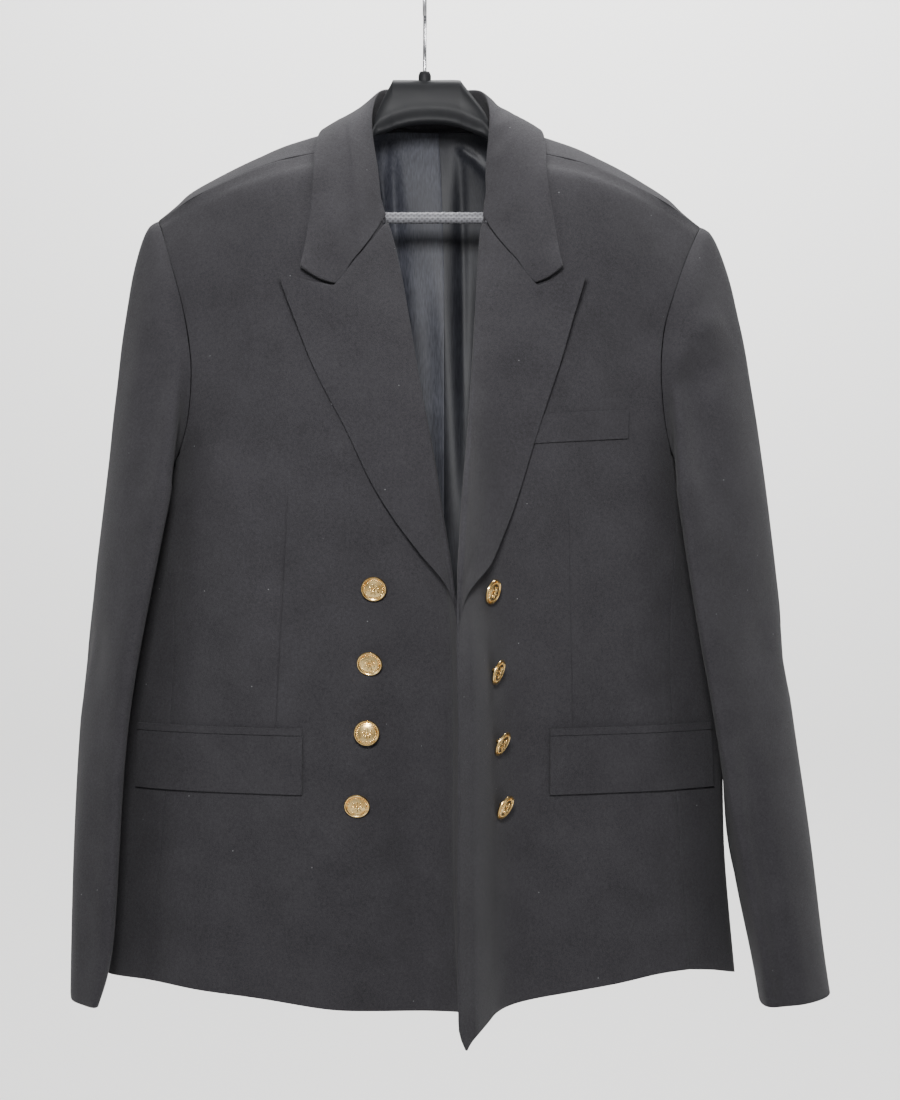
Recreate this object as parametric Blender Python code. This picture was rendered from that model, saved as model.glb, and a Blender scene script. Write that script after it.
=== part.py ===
"""A double-breasted reefer jacket hanging open on a suit hanger, in metres.

The origin is the inside top of the hanger's hook, where a rail bears. +Z is up,
the front faces -Y and +X is the wearer's left. Cloth pieces are thin walls on
surfaces that run smoothly through the rows of the tables below.
"""

import math

import bpy
import numpy as np
from mathutils import Matrix

# Walls and gaps
WALL = 0.0018
LEAF_WALL = 0.0020
POCKET_WALL = 0.0016
LINING_WALL = 0.0010
SEAM_GAP = 0.0003
ARMHOLE_GAP = 0.0012
LINING_GAP = 0.0012
FOLD_RADIUS = 0.0017
ROLL_INSET = 0.0037
COLLAR_FOOT = 0.0024
COLLAR_LIFT = 0.0018
POCKET_LIFT = 0.0007

# Buttons
BUTTON_SIDES = 14

# Hip pockets
FLAP_LENGTH = 0.162
FLAP_TOP = -0.6506
FLAP_BOTTOM = -0.6992
JET_TOP = -0.6443
JET_BOTTOM = -0.6502
FLAP_START = {"left": 0.0995, "right": -0.1058}

# Breast pocket: lower and upper ends of the welt, x and z
WELT_BOTTOM = ((0.0800, -0.4082), (0.1665, -0.4022))
WELT_TOP = ((0.0830, -0.3838), (0.1680, -0.3780))

# Sleeves
SLEEVE_TURN = 0.5
SLEEVE_PIVOT = 0.0165

# Hanger. The jacket and the hanger's arms lie this far to the wearer's left of the hook.
HANG_SHIFT = 0.0055
WIRE_RADIUS = 0.0016
HOOK_RADIUS = 0.0216
BAR_RADIUS = 0.0050
BAR_HEIGHT = -0.2070
BAR_HALF = 0.1515
POST_OUT = 0.0048
POST_HALF_WIDTH = 0.0045
POST_HALF_DEPTH = 0.0060
POST_ENDS = (-0.1780, -0.2140)
BOSS_OUTLINE = ((-0.0950, 0.0055), (-0.0830, 0.0055), (-0.0800, 0.0042))
HOOK_STEM = (
    (0.0, 0.0, -0.0797),
    (0.0, 0.0, -0.0660),
    (0.0, 0.0040, -0.0560),
    (0.0, 0.0150, -0.0400),
    (0.0, 0.0200, -0.0310),
)

# Rows of the lower body, from the hem up to the underarm
LOWER_ROWS = 7

# Front of the wearer's right half. Each row: name, then x, y, z at the front edge,
# the turn beside it, the button line, the dart line and the side seam or armhole.
RIGHT_FRONT = (
    ("hem", (0.0300, -0.1260, -0.8745), (0.0205, -0.0990, -0.8785), (-0.0660, -0.0910, -0.8785),
     (-0.1320, -0.0835, -0.8715), (-0.2430, -0.0450, -0.8610)),
    ("skirt", (0.0240, -0.1270, -0.7700), (0.0158, -0.0990, -0.7680), (-0.0620, -0.0920, -0.7660),
     (-0.1270, -0.0845, -0.7620), (-0.2305, -0.0450, -0.7565)),
    ("pocket", (0.0240, -0.1280, -0.6690), (0.0160, -0.1000, -0.6680), (-0.0560, -0.0930, -0.6665),
     (-0.1230, -0.0865, -0.6640), (-0.2230, -0.0450, -0.6600)),
    ("waist", (0.0228, -0.1285, -0.5770), (0.0150, -0.1005, -0.5765), (-0.0490, -0.0940, -0.5755),
     (-0.1190, -0.0880, -0.5740), (-0.2187, -0.0450, -0.5725)),
    ("break", (0.0218, -0.1250, -0.5433), (0.0130, -0.1020, -0.5430), (-0.0475, -0.0940, -0.5425),
     (-0.1175, -0.0885, -0.5415), (-0.2200, -0.0430, -0.5400)),
    ("ribs", (0.0177, -0.1200, -0.5132), (0.0080, -0.1030, -0.5110), (-0.0468, -0.0940, -0.5030),
     (-0.1150, -0.0895, -0.4930), (-0.2245, -0.0385, -0.4770)),
    ("underarm", (0.0136, -0.1140, -0.4865), (0.0040, -0.1035, -0.4830), (-0.0465, -0.0940, -0.4680),
     (-0.1130, -0.0900, -0.4480), (-0.2155, -0.0360, -0.4150)),
    ("scye", (0.0033, -0.1000, -0.4208), (-0.0060, -0.0980, -0.4190), (-0.0475, -0.0935, -0.4130),
     (-0.1120, -0.0905, -0.4020), (-0.2062, -0.0500, -0.3850)),
    ("chest", (-0.0051, -0.0900, -0.3789), (-0.0135, -0.0910, -0.3775), (-0.0510, -0.0905, -0.3710),
     (-0.1120, -0.0890, -0.3610), (-0.2031, -0.0550, -0.3480)),
    ("lapel", (-0.0156, -0.0750, -0.3260), (-0.0240, -0.0790, -0.3255), (-0.0570, -0.0840, -0.3220),
     (-0.1130, -0.0830, -0.3160), (-0.2072, -0.0470, -0.3100)),
    ("upper", (-0.0253, -0.0600, -0.2698), (-0.0330, -0.0640, -0.2690), (-0.0630, -0.0735, -0.2660),
     (-0.1170, -0.0730, -0.2620), (-0.2157, -0.0390, -0.2723)),
    ("gorge", (-0.0388, -0.0450, -0.2171), (-0.0460, -0.0500, -0.2170), (-0.0740, -0.0600, -0.2140),
     (-0.1240, -0.0595, -0.2140), (-0.2260, -0.0240, -0.2410)),
    ("yoke", (-0.0600, -0.0400, -0.1780), (-0.0660, -0.0430, -0.1780), (-0.0890, -0.0470, -0.1770),
     (-0.1330, -0.0460, -0.1840), (-0.2325, -0.0110, -0.2205)),
    ("shoulder", (-0.0740, -0.0270, -0.1500), (-0.0800, -0.0280, -0.1505), (-0.1000, -0.0290, -0.1530),
     (-0.1380, -0.0280, -0.1640), (-0.2375, 0.0010, -0.2098)),
)

# Front of the wearer's left half, the same stations
LEFT_FRONT = (
    ("hem", (0.0245, -0.2000, -0.8885), (0.0392, -0.1810, -0.8790), (0.0650, -0.1125, -0.8712),
     (0.1200, -0.0865, -0.8640), (0.2204, -0.0470, -0.8525)),
    ("skirt", (0.0238, -0.2005, -0.7660), (0.0382, -0.1800, -0.7640), (0.0660, -0.1125, -0.7610),
     (0.1165, -0.0880, -0.7580), (0.2125, -0.0470, -0.7520)),
    ("pocket", (0.0242, -0.2005, -0.6650), (0.0385, -0.1800, -0.6643), (0.0655, -0.1125, -0.6625),
     (0.1142, -0.0885, -0.6600), (0.2060, -0.0470, -0.6560)),
    ("waist", (0.0233, -0.1985, -0.5760), (0.0362, -0.1770, -0.5757), (0.0610, -0.1130, -0.5745),
     (0.1125, -0.0890, -0.5730), (0.2040, -0.0460, -0.5715)),
    ("break", (0.0222, -0.1950, -0.5455), (0.0342, -0.1660, -0.5450), (0.0580, -0.1127, -0.5440),
     (0.1115, -0.0895, -0.5420), (0.2050, -0.0440, -0.5400)),
    ("ribs", (0.0236, -0.1850, -0.5142), (0.0330, -0.1485, -0.5110), (0.0555, -0.1135, -0.5060),
     (0.1110, -0.0900, -0.4930), (0.2095, -0.0400, -0.4760)),
    ("underarm", (0.0252, -0.1750, -0.4869), (0.0348, -0.1430, -0.4810), (0.0530, -0.1150, -0.4720),
     (0.1100, -0.0905, -0.4490), (0.2055, -0.0360, -0.4150)),
    ("scye", (0.0282, -0.1510, -0.4380), (0.0385, -0.1285, -0.4320), (0.0570, -0.1080, -0.4240),
     (0.1090, -0.0905, -0.4080), (0.1985, -0.0500, -0.3850)),
    ("chest", (0.0322, -0.1260, -0.3890), (0.0430, -0.1120, -0.3850), (0.0630, -0.0990, -0.3790),
     (0.1100, -0.0880, -0.3660), (0.1957, -0.0550, -0.3480)),
    ("lapel", (0.0363, -0.0950, -0.3216), (0.0470, -0.0925, -0.3210), (0.0690, -0.0880, -0.3180),
     (0.1130, -0.0830, -0.3120), (0.1995, -0.0470, -0.3060)),
    ("upper", (0.0408, -0.0690, -0.2650), (0.0495, -0.0715, -0.2640), (0.0720, -0.0750, -0.2630),
     (0.1170, -0.0730, -0.2600), (0.2110, -0.0380, -0.2680)),
    ("gorge", (0.0453, -0.0460, -0.2178), (0.0525, -0.0505, -0.2170), (0.0780, -0.0600, -0.2150),
     (0.1230, -0.0595, -0.2150), (0.2215, -0.0230, -0.2410)),
    ("yoke", (0.0610, -0.0400, -0.1790), (0.0670, -0.0430, -0.1790), (0.0890, -0.0470, -0.1785),
     (0.1330, -0.0460, -0.1850), (0.2290, -0.0110, -0.2250)),
    ("shoulder", (0.0740, -0.0270, -0.1510), (0.0800, -0.0280, -0.1515), (0.1000, -0.0290, -0.1545),
     (0.1380, -0.0280, -0.1655), (0.2345, 0.0010, -0.2148)),
)

# Side panel's outermost line, a row for each of the lower rows: y, z and the two x values
SIDE_LINE = (
    ("hem", 0.0030, -0.8635, -0.2812, 0.2648),
    ("skirt", 0.0040, -0.7570, -0.2748, 0.2556),
    ("pocket", 0.0040, -0.6600, -0.2686, 0.2526),
    ("waist", 0.0030, -0.5725, -0.2540, 0.2410),
    ("break", 0.0030, -0.5400, -0.2500, 0.2352),
    ("ribs", 0.0020, -0.4770, -0.2370, 0.2252),
    ("underarm", 0.0010, -0.4250, -0.2230, 0.2130),
)

# Wearer's right back. Each row: name, then x, y, z at the centre, the quarter, the neck
# line, the blade, the upper arm line and the side seam or armhole, then how the left half
# differs: its width as a share, and how much lower its outer end is.
BACK = (
    ("hem", (0, 0.0780, -0.8620), (-0.0600, 0.0770, -0.8620), (-0.1150, 0.0740, -0.8620),
     (-0.1600, 0.0700, -0.8620), (-0.2000, 0.0640, -0.8620), (-0.2360, 0.0530, -0.8620), 0.943, -0.006),
    ("skirt", (0, 0.0770, -0.7570), (-0.0580, 0.0760, -0.7570), (-0.1100, 0.0730, -0.7570),
     (-0.1530, 0.0690, -0.7570), (-0.1900, 0.0630, -0.7570), (-0.2240, 0.0520, -0.7570), 0.940, -0.003),
    ("pocket", (0, 0.0760, -0.6600), (-0.0560, 0.0750, -0.6600), (-0.1060, 0.0720, -0.6600),
     (-0.1480, 0.0680, -0.6600), (-0.1840, 0.0620, -0.6600), (-0.2160, 0.0510, -0.6600), 0.938, -0.002),
    ("waist", (0, 0.0740, -0.5725), (-0.0550, 0.0730, -0.5725), (-0.1030, 0.0700, -0.5725),
     (-0.1430, 0.0665, -0.5725), (-0.1780, 0.0600, -0.5725), (-0.2095, 0.0490, -0.5725), 0.942, -0.001),
    ("break", (0, 0.0740, -0.5400), (-0.0550, 0.0730, -0.5400), (-0.1030, 0.0700, -0.5400),
     (-0.1430, 0.0665, -0.5400), (-0.1780, 0.0600, -0.5400), (-0.2095, 0.0485, -0.5400), 0.945, 0),
    ("ribs", (0, 0.0760, -0.4770), (-0.0550, 0.0755, -0.4770), (-0.1040, 0.0735, -0.4770),
     (-0.1450, 0.0695, -0.4770), (-0.1800, 0.0610, -0.4770), (-0.2130, 0.0450, -0.4770), 0.950, 0),
    ("underarm", (0, 0.0790, -0.4250), (-0.0550, 0.0790, -0.4240), (-0.1040, 0.0775, -0.4220),
     (-0.1450, 0.0725, -0.4200), (-0.1820, 0.0620, -0.4170), (-0.2150, 0.0400, -0.4140), 0.956, 0),
    ("scye", (0, 0.0810, -0.3800), (-0.0540, 0.0810, -0.3810), (-0.1020, 0.0795, -0.3820),
     (-0.1420, 0.0745, -0.3830), (-0.1780, 0.0645, -0.3840), (-0.2080, 0.0500, -0.3850), 0.960, 0),
    ("chest", (0, 0.0820, -0.3350), (-0.0530, 0.0820, -0.3365), (-0.1000, 0.0805, -0.3390),
     (-0.1400, 0.0755, -0.3420), (-0.1760, 0.0665, -0.3455), (-0.2060, 0.0540, -0.3480), 0.962, 0),
    ("lapel", (0, 0.0810, -0.2850), (-0.0520, 0.0805, -0.2870), (-0.0990, 0.0785, -0.2910),
     (-0.1400, 0.0730, -0.2960), (-0.1770, 0.0640, -0.3020), (-0.2090, 0.0500, -0.3080), 0.966, 0),
    ("upper", (0, 0.0780, -0.2350), (-0.0520, 0.0765, -0.2370), (-0.0990, 0.0725, -0.2420),
     (-0.1420, 0.0660, -0.2500), (-0.1830, 0.0560, -0.2610), (-0.2160, 0.0430, -0.2710), 0.972, 0),
    ("gorge", (0, 0.0730, -0.1850), (-0.0515, 0.0680, -0.1870), (-0.0970, 0.0560, -0.1930),
     (-0.1460, 0.0500, -0.2060), (-0.1900, 0.0420, -0.2240), (-0.2255, 0.0310, -0.2420), 0.980, -0.001),
    ("yoke", (0, 0.0685, -0.1480), (-0.0500, 0.0590, -0.1490), (-0.0910, 0.0320, -0.1500),
     (-0.1500, 0.0280, -0.1720), (-0.1980, 0.0240, -0.1975), (-0.2325, 0.0170, -0.2215), 0.984, -0.004),
    ("ridge", (0, 0.0655, -0.1290), (-0.0460, 0.0520, -0.1300), (-0.0830, 0.0030, -0.1310),
     (-0.1480, 0.0020, -0.1530), (-0.1990, 0.0030, -0.1790), (-0.2368, 0.0060, -0.2082), 0.986, -0.006),
    ("shoulder", (0, 0.0640, -0.1200), (-0.0430, 0.0490, -0.1215), (-0.0740, -0.0270, -0.1500),
     (-0.1380, -0.0280, -0.1640), (-0.1950, -0.0180, -0.1870), (-0.2375, 0.0010, -0.2098), 0.987, -0.005),
)

# Sleeves below the armhole. Each row: z, outer x, inner x, depth centre, half depth,
# x of the front crease. The x values hold at the depth of the hook, and the sleeves turn in
# towards the front and out towards the back by SLEEVE_TURN for each metre, from SLEEVE_PIVOT.
RIGHT_SLEEVE = (
    (-0.4600, -0.2850, -0.2375, -0.0020, 0.0900, -0.2330),
    (-0.5570, -0.2967, -0.2555, -0.0050, 0.0880, -0.2525),
    (-0.6540, -0.3057, -0.2708, -0.0080, 0.0840, -0.2672),
    (-0.7570, -0.3111, -0.2775, -0.0110, 0.0790, -0.2745),
    (-0.8340, -0.3133, -0.2825, -0.0130, 0.0750, -0.2800),
    (-0.8780, -0.3141, -0.2915, -0.0140, 0.0720, -0.2910),
)
LEFT_SLEEVE = (
    (-0.4600, 0.2938, 0.2245, -0.0020, 0.0880, 0.2210),
    (-0.5600, 0.3056, 0.2400, -0.0040, 0.0850, 0.2370),
    (-0.6440, 0.3155, 0.2535, -0.0070, 0.0800, 0.2530),
    (-0.7390, 0.3295, 0.2580, -0.0100, 0.0740, 0.2760),
    (-0.8260, 0.3399, 0.2745, -0.0130, 0.0670, 0.2950),
    (-0.8790, 0.3475, 0.2846, -0.0140, 0.0640, 0.3020),
)
CAP_STEPS = (0.0, 0.07, 0.16, 0.28, 0.45, 0.65, 0.83, 1.0)

# Collar. Each row: name, foot of the stand, fold, leaf beyond the fold, notch line and edge.
# The left half takes the same rows but the last four, which follow.
COLLAR_RIGHT = (
    ("centre back", (0, 0.0620, -0.1180), (0, 0.0560, -0.0885), (0, 0.0665, -0.1060), (0, 0.0715, -0.1220),
     (0, 0.0745, -0.1360)),
    ("back", (-0.0260, 0.0545, -0.1185), (-0.0240, 0.0475, -0.0885), (-0.0300, 0.0575, -0.1060),
     (-0.0350, 0.0640, -0.1215), (-0.0390, 0.0690, -0.1350)),
    ("back of neck", (-0.0540, 0.0290, -0.1240), (-0.0430, 0.0240, -0.0925), (-0.0560, 0.0330, -0.1060),
     (-0.0660, 0.0390, -0.1190), (-0.0740, 0.0430, -0.1310)),
    ("side of neck", (-0.0630, 0.0070, -0.1310), (-0.0500, 0.0080, -0.1060), (-0.0650, 0.0100, -0.1120),
     (-0.0800, 0.0100, -0.1200), (-0.0920, 0.0090, -0.1280)),
    ("shoulder", (-0.0680, -0.0140, -0.1420), (-0.0520, -0.0060, -0.1230), (-0.0680, -0.0150, -0.1270),
     (-0.0850, -0.0190, -0.1355), (-0.0980, -0.0220, -0.1445)),
    ("upper front", (-0.0655, -0.0310, -0.1590), (-0.0500, -0.0180, -0.1470), (-0.0650, -0.0330, -0.1520),
     (-0.0840, -0.0410, -0.1620), (-0.0998, -0.0440, -0.1740)),
    ("middle front", (-0.0570, -0.0385, -0.1810), (-0.0466, -0.0280, -0.1700), (-0.0620, -0.0450, -0.1780),
     (-0.0830, -0.0550, -0.1900), (-0.1004, -0.0580, -0.2020)),
    ("lower front", (-0.0490, -0.0435, -0.2010), (-0.0440, -0.0380, -0.1920), (-0.0590, -0.0560, -0.2050),
     (-0.0820, -0.0690, -0.2220), (-0.1039, -0.0720, -0.2332)),
    ("gorge", (-0.0440, -0.0480, -0.2170), (-0.0393, -0.0455, -0.2125), (-0.0560, -0.0640, -0.2400),
     (-0.0795, -0.0830, -0.2732), (-0.1085, -0.0850, -0.2590)),
)
COLLAR_LEFT_END = (
    ("upper front", (0.0655, -0.0310, -0.1600), (0.0505, -0.0180, -0.1470), (0.0650, -0.0330, -0.1530),
     (0.0840, -0.0410, -0.1640), (0.0985, -0.0440, -0.1760)),
    ("middle front", (0.0580, -0.0385, -0.1820), (0.0488, -0.0280, -0.1700), (0.0640, -0.0450, -0.1790),
     (0.0840, -0.0550, -0.1910), (0.1018, -0.0580, -0.2030)),
    ("lower front", (0.0525, -0.0440, -0.2010), (0.0478, -0.0392, -0.1920), (0.0630, -0.0560, -0.2060),
     (0.0850, -0.0690, -0.2220), (0.1061, -0.0720, -0.2332)),
    ("gorge", (0.0500, -0.0485, -0.2170), (0.0458, -0.0475, -0.2125), (0.0620, -0.0640, -0.2390),
     (0.0880, -0.0830, -0.2725), (0.1105, -0.0850, -0.2590)),
)

# Lapels. Each row: x, y, z on the roll line, at the notch line and at the outer edge.
LAPEL_RIGHT = (
    ((-0.0385, -0.0455, -0.2205), (-0.0805, -0.0850, -0.2770), (-0.1262, -0.0920, -0.2655)),
    ((-0.0340, -0.0500, -0.2360), (-0.0780, -0.0865, -0.2860), (-0.1225, -0.0925, -0.2775)),
    ((-0.0253, -0.0600, -0.2698), (-0.0710, -0.0880, -0.3110), (-0.1120, -0.0930, -0.3055)),
    ((-0.0185, -0.0705, -0.3090), (-0.0620, -0.0900, -0.3420), (-0.0985, -0.0940, -0.3400)),
    ((-0.0118, -0.0805, -0.3455), (-0.0510, -0.0930, -0.3730), (-0.0830, -0.0950, -0.3715)),
    ((-0.0051, -0.0900, -0.3789), (-0.0395, -0.0955, -0.4030), (-0.0668, -0.0970, -0.4019)),
    ((0.0033, -0.1000, -0.4208), (-0.0240, -0.1000, -0.4400), (-0.0481, -0.1000, -0.4413)),
    ((0.0095, -0.1080, -0.4540), (-0.0060, -0.1050, -0.4700), (-0.0232, -0.1030, -0.4795)),
    ((0.0136, -0.1140, -0.4865), (0.0075, -0.1120, -0.4950), (-0.0030, -0.1080, -0.5055)),
    ((0.0177, -0.1200, -0.5132), (0.0150, -0.1190, -0.5180), (0.0095, -0.1170, -0.5260)),
    ((0.0208, -0.1238, -0.5360), (0.0190, -0.1235, -0.5400), (0.0165, -0.1225, -0.5465)),
)
LAPEL_LEFT = (
    ((0.0451, -0.0510, -0.2205), (0.0890, -0.0850, -0.2765), (0.1300, -0.0920, -0.2645)),
    ((0.0438, -0.0560, -0.2340), (0.0868, -0.0865, -0.2860), (0.1270, -0.0925, -0.2765)),
    ((0.0408, -0.0690, -0.2650), (0.0820, -0.0890, -0.3100), (0.1185, -0.0935, -0.3045)),
    ((0.0382, -0.0830, -0.2960), (0.0770, -0.0915, -0.3370), (0.1105, -0.0945, -0.3330)),
    ((0.0350, -0.1020, -0.3370), (0.0700, -0.0955, -0.3690), (0.0990, -0.0960, -0.3680)),
    ((0.0322, -0.1260, -0.3890), (0.0600, -0.1060, -0.4100), (0.0850, -0.1000, -0.4100)),
    ((0.0282, -0.1510, -0.4380), (0.0490, -0.1230, -0.4500), (0.0720, -0.1090, -0.4520)),
    ((0.0252, -0.1750, -0.4869), (0.0400, -0.1440, -0.4890), (0.0570, -0.1250, -0.4900)),
    ((0.0240, -0.1830, -0.5080), (0.0330, -0.1620, -0.5120), (0.0450, -0.1440, -0.5160)),
    ((0.0232, -0.1900, -0.5260), (0.0275, -0.1790, -0.5290), (0.0345, -0.1650, -0.5340)),
    ((0.0227, -0.1935, -0.5390), (0.0255, -0.1880, -0.5450), (0.0293, -0.1810, -0.5545)),
)

# Buttons: name, half of the jacket, x and z, then how it leans on its shank: what is added
# to the cloth's own facing in x and z
BUTTONS = (
    ("button_right_1", "right", -0.0464, -0.5264, 0.00, -0.34),
    ("button_right_2", "right", -0.0495, -0.5877, -0.10, -0.45),
    ("button_right_3", "right", -0.0524, -0.6472, 0.00, -0.05),
    ("button_right_4", "right", -0.0603, -0.7054, 0.00, -0.44),
    ("button_left_1", "left", 0.0466, -0.5284, 0.00, -0.40),
    ("button_left_2", "left", 0.0504, -0.5930, 0.00, -0.40),
    ("button_left_3", "left", 0.0542, -0.6507, -0.08, -0.46),
    ("button_left_4", "left", 0.0569, -0.7027, -0.12, -0.44),
)

# Button outline from the shank to the middle of the dome: radius, height above the cloth
BUTTON_OUTLINE = (
    (0.0016, 0.0012),
    (0.0016, 0.0044),
    (0.0090, 0.0048),
    (0.01075, 0.0059),
    (0.0104, 0.0072),
    (0.0092, 0.0073),
    (0.0082, 0.0068),
    (0.0045, 0.0080),
)
DOME_RISE = 0.0004

# Hanger's wide middle, a row for each section from the wearer's right: x, top z, height,
# half depth
HANGER_MIDDLE = (
    (-0.0495, -0.1225, 0.0145, 0.0072),
    (-0.0455, -0.1120, 0.0232, 0.0080),
    (-0.0395, -0.0990, 0.0340, 0.0085),
    (-0.0335, -0.0885, 0.0420, 0.0085),
    (-0.0320, -0.0870, 0.0428, 0.0085),
    (-0.0170, -0.0868, 0.0396, 0.0090),
    (0.0000, -0.0868, 0.0386, 0.0090),
    (0.0140, -0.0868, 0.0392, 0.0090),
    (0.0245, -0.0872, 0.0408, 0.0085),
    (0.0265, -0.0890, 0.0398, 0.0085),
    (0.0345, -0.0990, 0.0330, 0.0085),
    (0.0430, -0.1100, 0.0255, 0.0080),
    (0.0495, -0.1205, 0.0180, 0.0070),
)

# Hanger's arms, the same on both sides, outward from its middle
HANGER_ARM = (
    (0.0560, -0.1395, 0.0115, 0.0080),
    (0.0680, -0.1495, 0.0140, 0.0110),
    (0.0850, -0.1470, 0.0160, 0.0140),
    (0.1000, -0.1460, 0.0170, 0.0150),
    (0.1240, -0.1500, 0.0180, 0.0145),
    (0.1480, -0.1585, 0.0185, 0.0140),
    (0.1670, -0.1670, 0.0190, 0.0135),
    (0.1850, -0.1770, 0.0190, 0.0125),
    (0.1980, -0.1860, 0.0180, 0.0115),
    (0.2100, -0.1960, 0.0160, 0.0110),
    (0.2170, -0.2030, 0.0090, 0.0060),
)

# Colours: name, red, green, blue, roughness, metal
COLOURS = {
    "wool": (0.055, 0.054, 0.059, 0.95, 0.0),
    "lining": (0.060, 0.064, 0.085, 0.45, 0.0),
    "plastic": (0.060, 0.061, 0.064, 0.30, 0.0),
    "bar": (0.150, 0.150, 0.165, 0.50, 0.0),
    "steel": (0.550, 0.550, 0.560, 0.25, 1.0),
    "brass": (0.800, 0.560, 0.220, 0.25, 1.0),
}


def stations(steps):
    """Station numbers along a curve, with the given number of steps in each span."""
    marks = [0.0]
    for span, count in enumerate(steps):
        marks += [span + (k + 1) / count for k in range(count)]
    return np.array(marks)


def curve_through(points, marks):
    """Points of one smooth curve through the given points, at the given station numbers."""
    points = np.asarray(points, float)
    spans = np.maximum(np.linalg.norm(np.diff(points, axis=0), axis=1), 1e-6)[:, None]
    slopes = np.diff(points, axis=0) / spans
    inner = (spans[1:] * slopes[:-1] + spans[:-1] * slopes[1:]) / (spans[1:] + spans[:-1])
    tangents = np.concatenate([slopes[:1], inner, slopes[-1:]])
    span = np.clip(np.floor(marks).astype(int), 0, len(points) - 2)
    t = (marks - span)[:, None]
    length = spans[span]
    start = (1 + 2 * t) * (1 - t) ** 2 * points[span] + t * (1 - t) ** 2 * length * tangents[span]
    end = t * t * (3 - 2 * t) * points[span + 1] - t * t * (1 - t) * length * tangents[span + 1]
    return start + end


def kinked_curve(points, corner, marks):
    """A curve that turns a corner at one of its stations."""
    before = curve_through(points[: corner + 1], marks[marks <= corner])
    after = curve_through(points[corner:], marks[marks > corner] - corner)
    return np.concatenate([before, after])


def read_across(marks, known, values):
    """Values read off between known marks, for each coordinate."""
    return np.stack([np.interp(marks, known, values[:, k]) for k in range(3)], axis=1)


def down_columns(rows, marks):
    rows = np.asarray(rows)
    return np.stack([curve_through(rows[:, j], marks) for j in range(rows.shape[1])], axis=1)


def unit(vectors):
    return vectors / np.maximum(np.linalg.norm(vectors, axis=-1, keepdims=True), 1e-12)


def normals_of(grid, closed=False):
    along = np.gradient(grid, axis=0)
    across = np.gradient(grid, axis=1)
    if closed:
        across = np.roll(grid, -1, axis=1) - np.roll(grid, 1, axis=1)
    return unit(np.cross(across, along))


def facing(normals, grid, centre):
    """The normals turned so that most of them point away from the centre."""
    away = ((grid - np.asarray(centre)) * normals).sum()
    return normals if away > 0 else -normals


def inset(grid, edge, distance):
    """Moves one edge of a grid inwards along its own surface."""
    if edge == "first column":
        grid[:, 0] += unit(grid[:, 1] - grid[:, 0]) * distance
    elif edge == "last column":
        grid[:, -1] += unit(grid[:, -2] - grid[:, -1]) * distance
    elif edge == "first row":
        grid[0] += unit(grid[1] - grid[0]) * distance
    else:
        grid[-1] += unit(grid[-2] - grid[-1]) * distance


def add_object(name, points, faces, material):
    mesh = bpy.data.meshes.new(name)
    mesh.from_pydata([tuple(map(float, p)) for p in points], [], faces)
    mesh.update()
    volume = 0.0
    for face in mesh.polygons:
        corner = [mesh.vertices[v].co for v in face.vertices]
        for k in range(1, len(corner) - 1):
            volume += corner[0].dot(corner[k].cross(corner[k + 1]))
    if volume < 0:
        mesh.flip_normals()
    mesh.materials.append(material)
    obj = bpy.data.objects.new(name, mesh)
    bpy.context.scene.collection.objects.link(obj)
    return obj


def wall(name, grid, normals, material, over=0.0, under=WALL, closed=False):
    """A closed wall on a grid of points, reaching over and under it along the normals."""
    rows, columns = grid.shape[:2]
    outer = (grid + normals * over).reshape(-1, 3)
    inner = (grid - normals * under).reshape(-1, 3)
    shift = len(outer)
    faces = []
    ring = columns if closed else columns - 1
    for i in range(rows - 1):
        for j in range(ring):
            a = i * columns + j
            b = i * columns + (j + 1) % columns
            c, d = b + columns, a + columns
            faces.append((a, b, c, d))
            faces.append((d + shift, c + shift, b + shift, a + shift))
    for i, turn in ((0, False), (rows - 1, True)):
        for j in range(ring):
            a = i * columns + j
            b = i * columns + (j + 1) % columns
            rim = (a, a + shift, b + shift, b)
            faces.append(rim[::-1] if turn else rim)
    if not closed:
        for j, turn in ((0, True), (columns - 1, False)):
            for i in range(rows - 1):
                a = i * columns + j
                b = a + columns
                rim = (a, a + shift, b + shift, b)
                faces.append(rim[::-1] if turn else rim)
    return add_object(name, np.concatenate([outer, inner]), faces, material)


def loft(name, rings, material):
    """A solid through rings of points, closed at both ends by a fan."""
    rings = np.asarray(rings)
    count, sides = rings.shape[:2]
    points = list(rings.reshape(-1, 3)) + [rings[0].mean(axis=0), rings[-1].mean(axis=0)]
    faces = []
    for i in range(count - 1):
        for j in range(sides):
            a, b = i * sides + j, i * sides + (j + 1) % sides
            faces.append((a, b, b + sides, a + sides))
    for j in range(sides):
        k = (j + 1) % sides
        faces.append((k, j, count * sides))
        faces.append(((count - 1) * sides + j, (count - 1) * sides + k, count * sides + 1))
    return add_object(name, points, faces, material)


def tube(name, path, radius, sides, material):
    path = np.asarray(path, float)
    tangents = unit(np.gradient(path, axis=0))
    side = np.array([1.0, 0.0, 0.0])
    if abs(tangents[0][0]) > 0.9:
        side = np.array([0.0, 1.0, 0.0])
    rings = []
    for point, tangent in zip(path, tangents):
        side = unit(side - tangent * side.dot(tangent))
        other = np.cross(tangent, side)
        turns = [2 * math.pi * k / sides for k in range(sides)]
        rings.append([point + radius * (math.cos(a) * side + math.sin(a) * other) for a in turns])
    return loft(name, rings, material)


def level_line(grid, normals, height):
    """Where each column of a grid passes a height, as points and normals."""
    found = []
    facing_there = []
    for j in range(grid.shape[1]):
        z = grid[:, j, 2]
        i = int(np.clip(np.searchsorted(z, height) - 1, 0, len(z) - 2))
        share = (height - z[i]) / (z[i + 1] - z[i])
        found.append(grid[i, j] * (1 - share) + grid[i + 1, j] * share)
        facing_there.append(normals[i, j] * (1 - share) + normals[i + 1, j] * share)
    return np.array(found), unit(np.array(facing_there))


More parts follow.
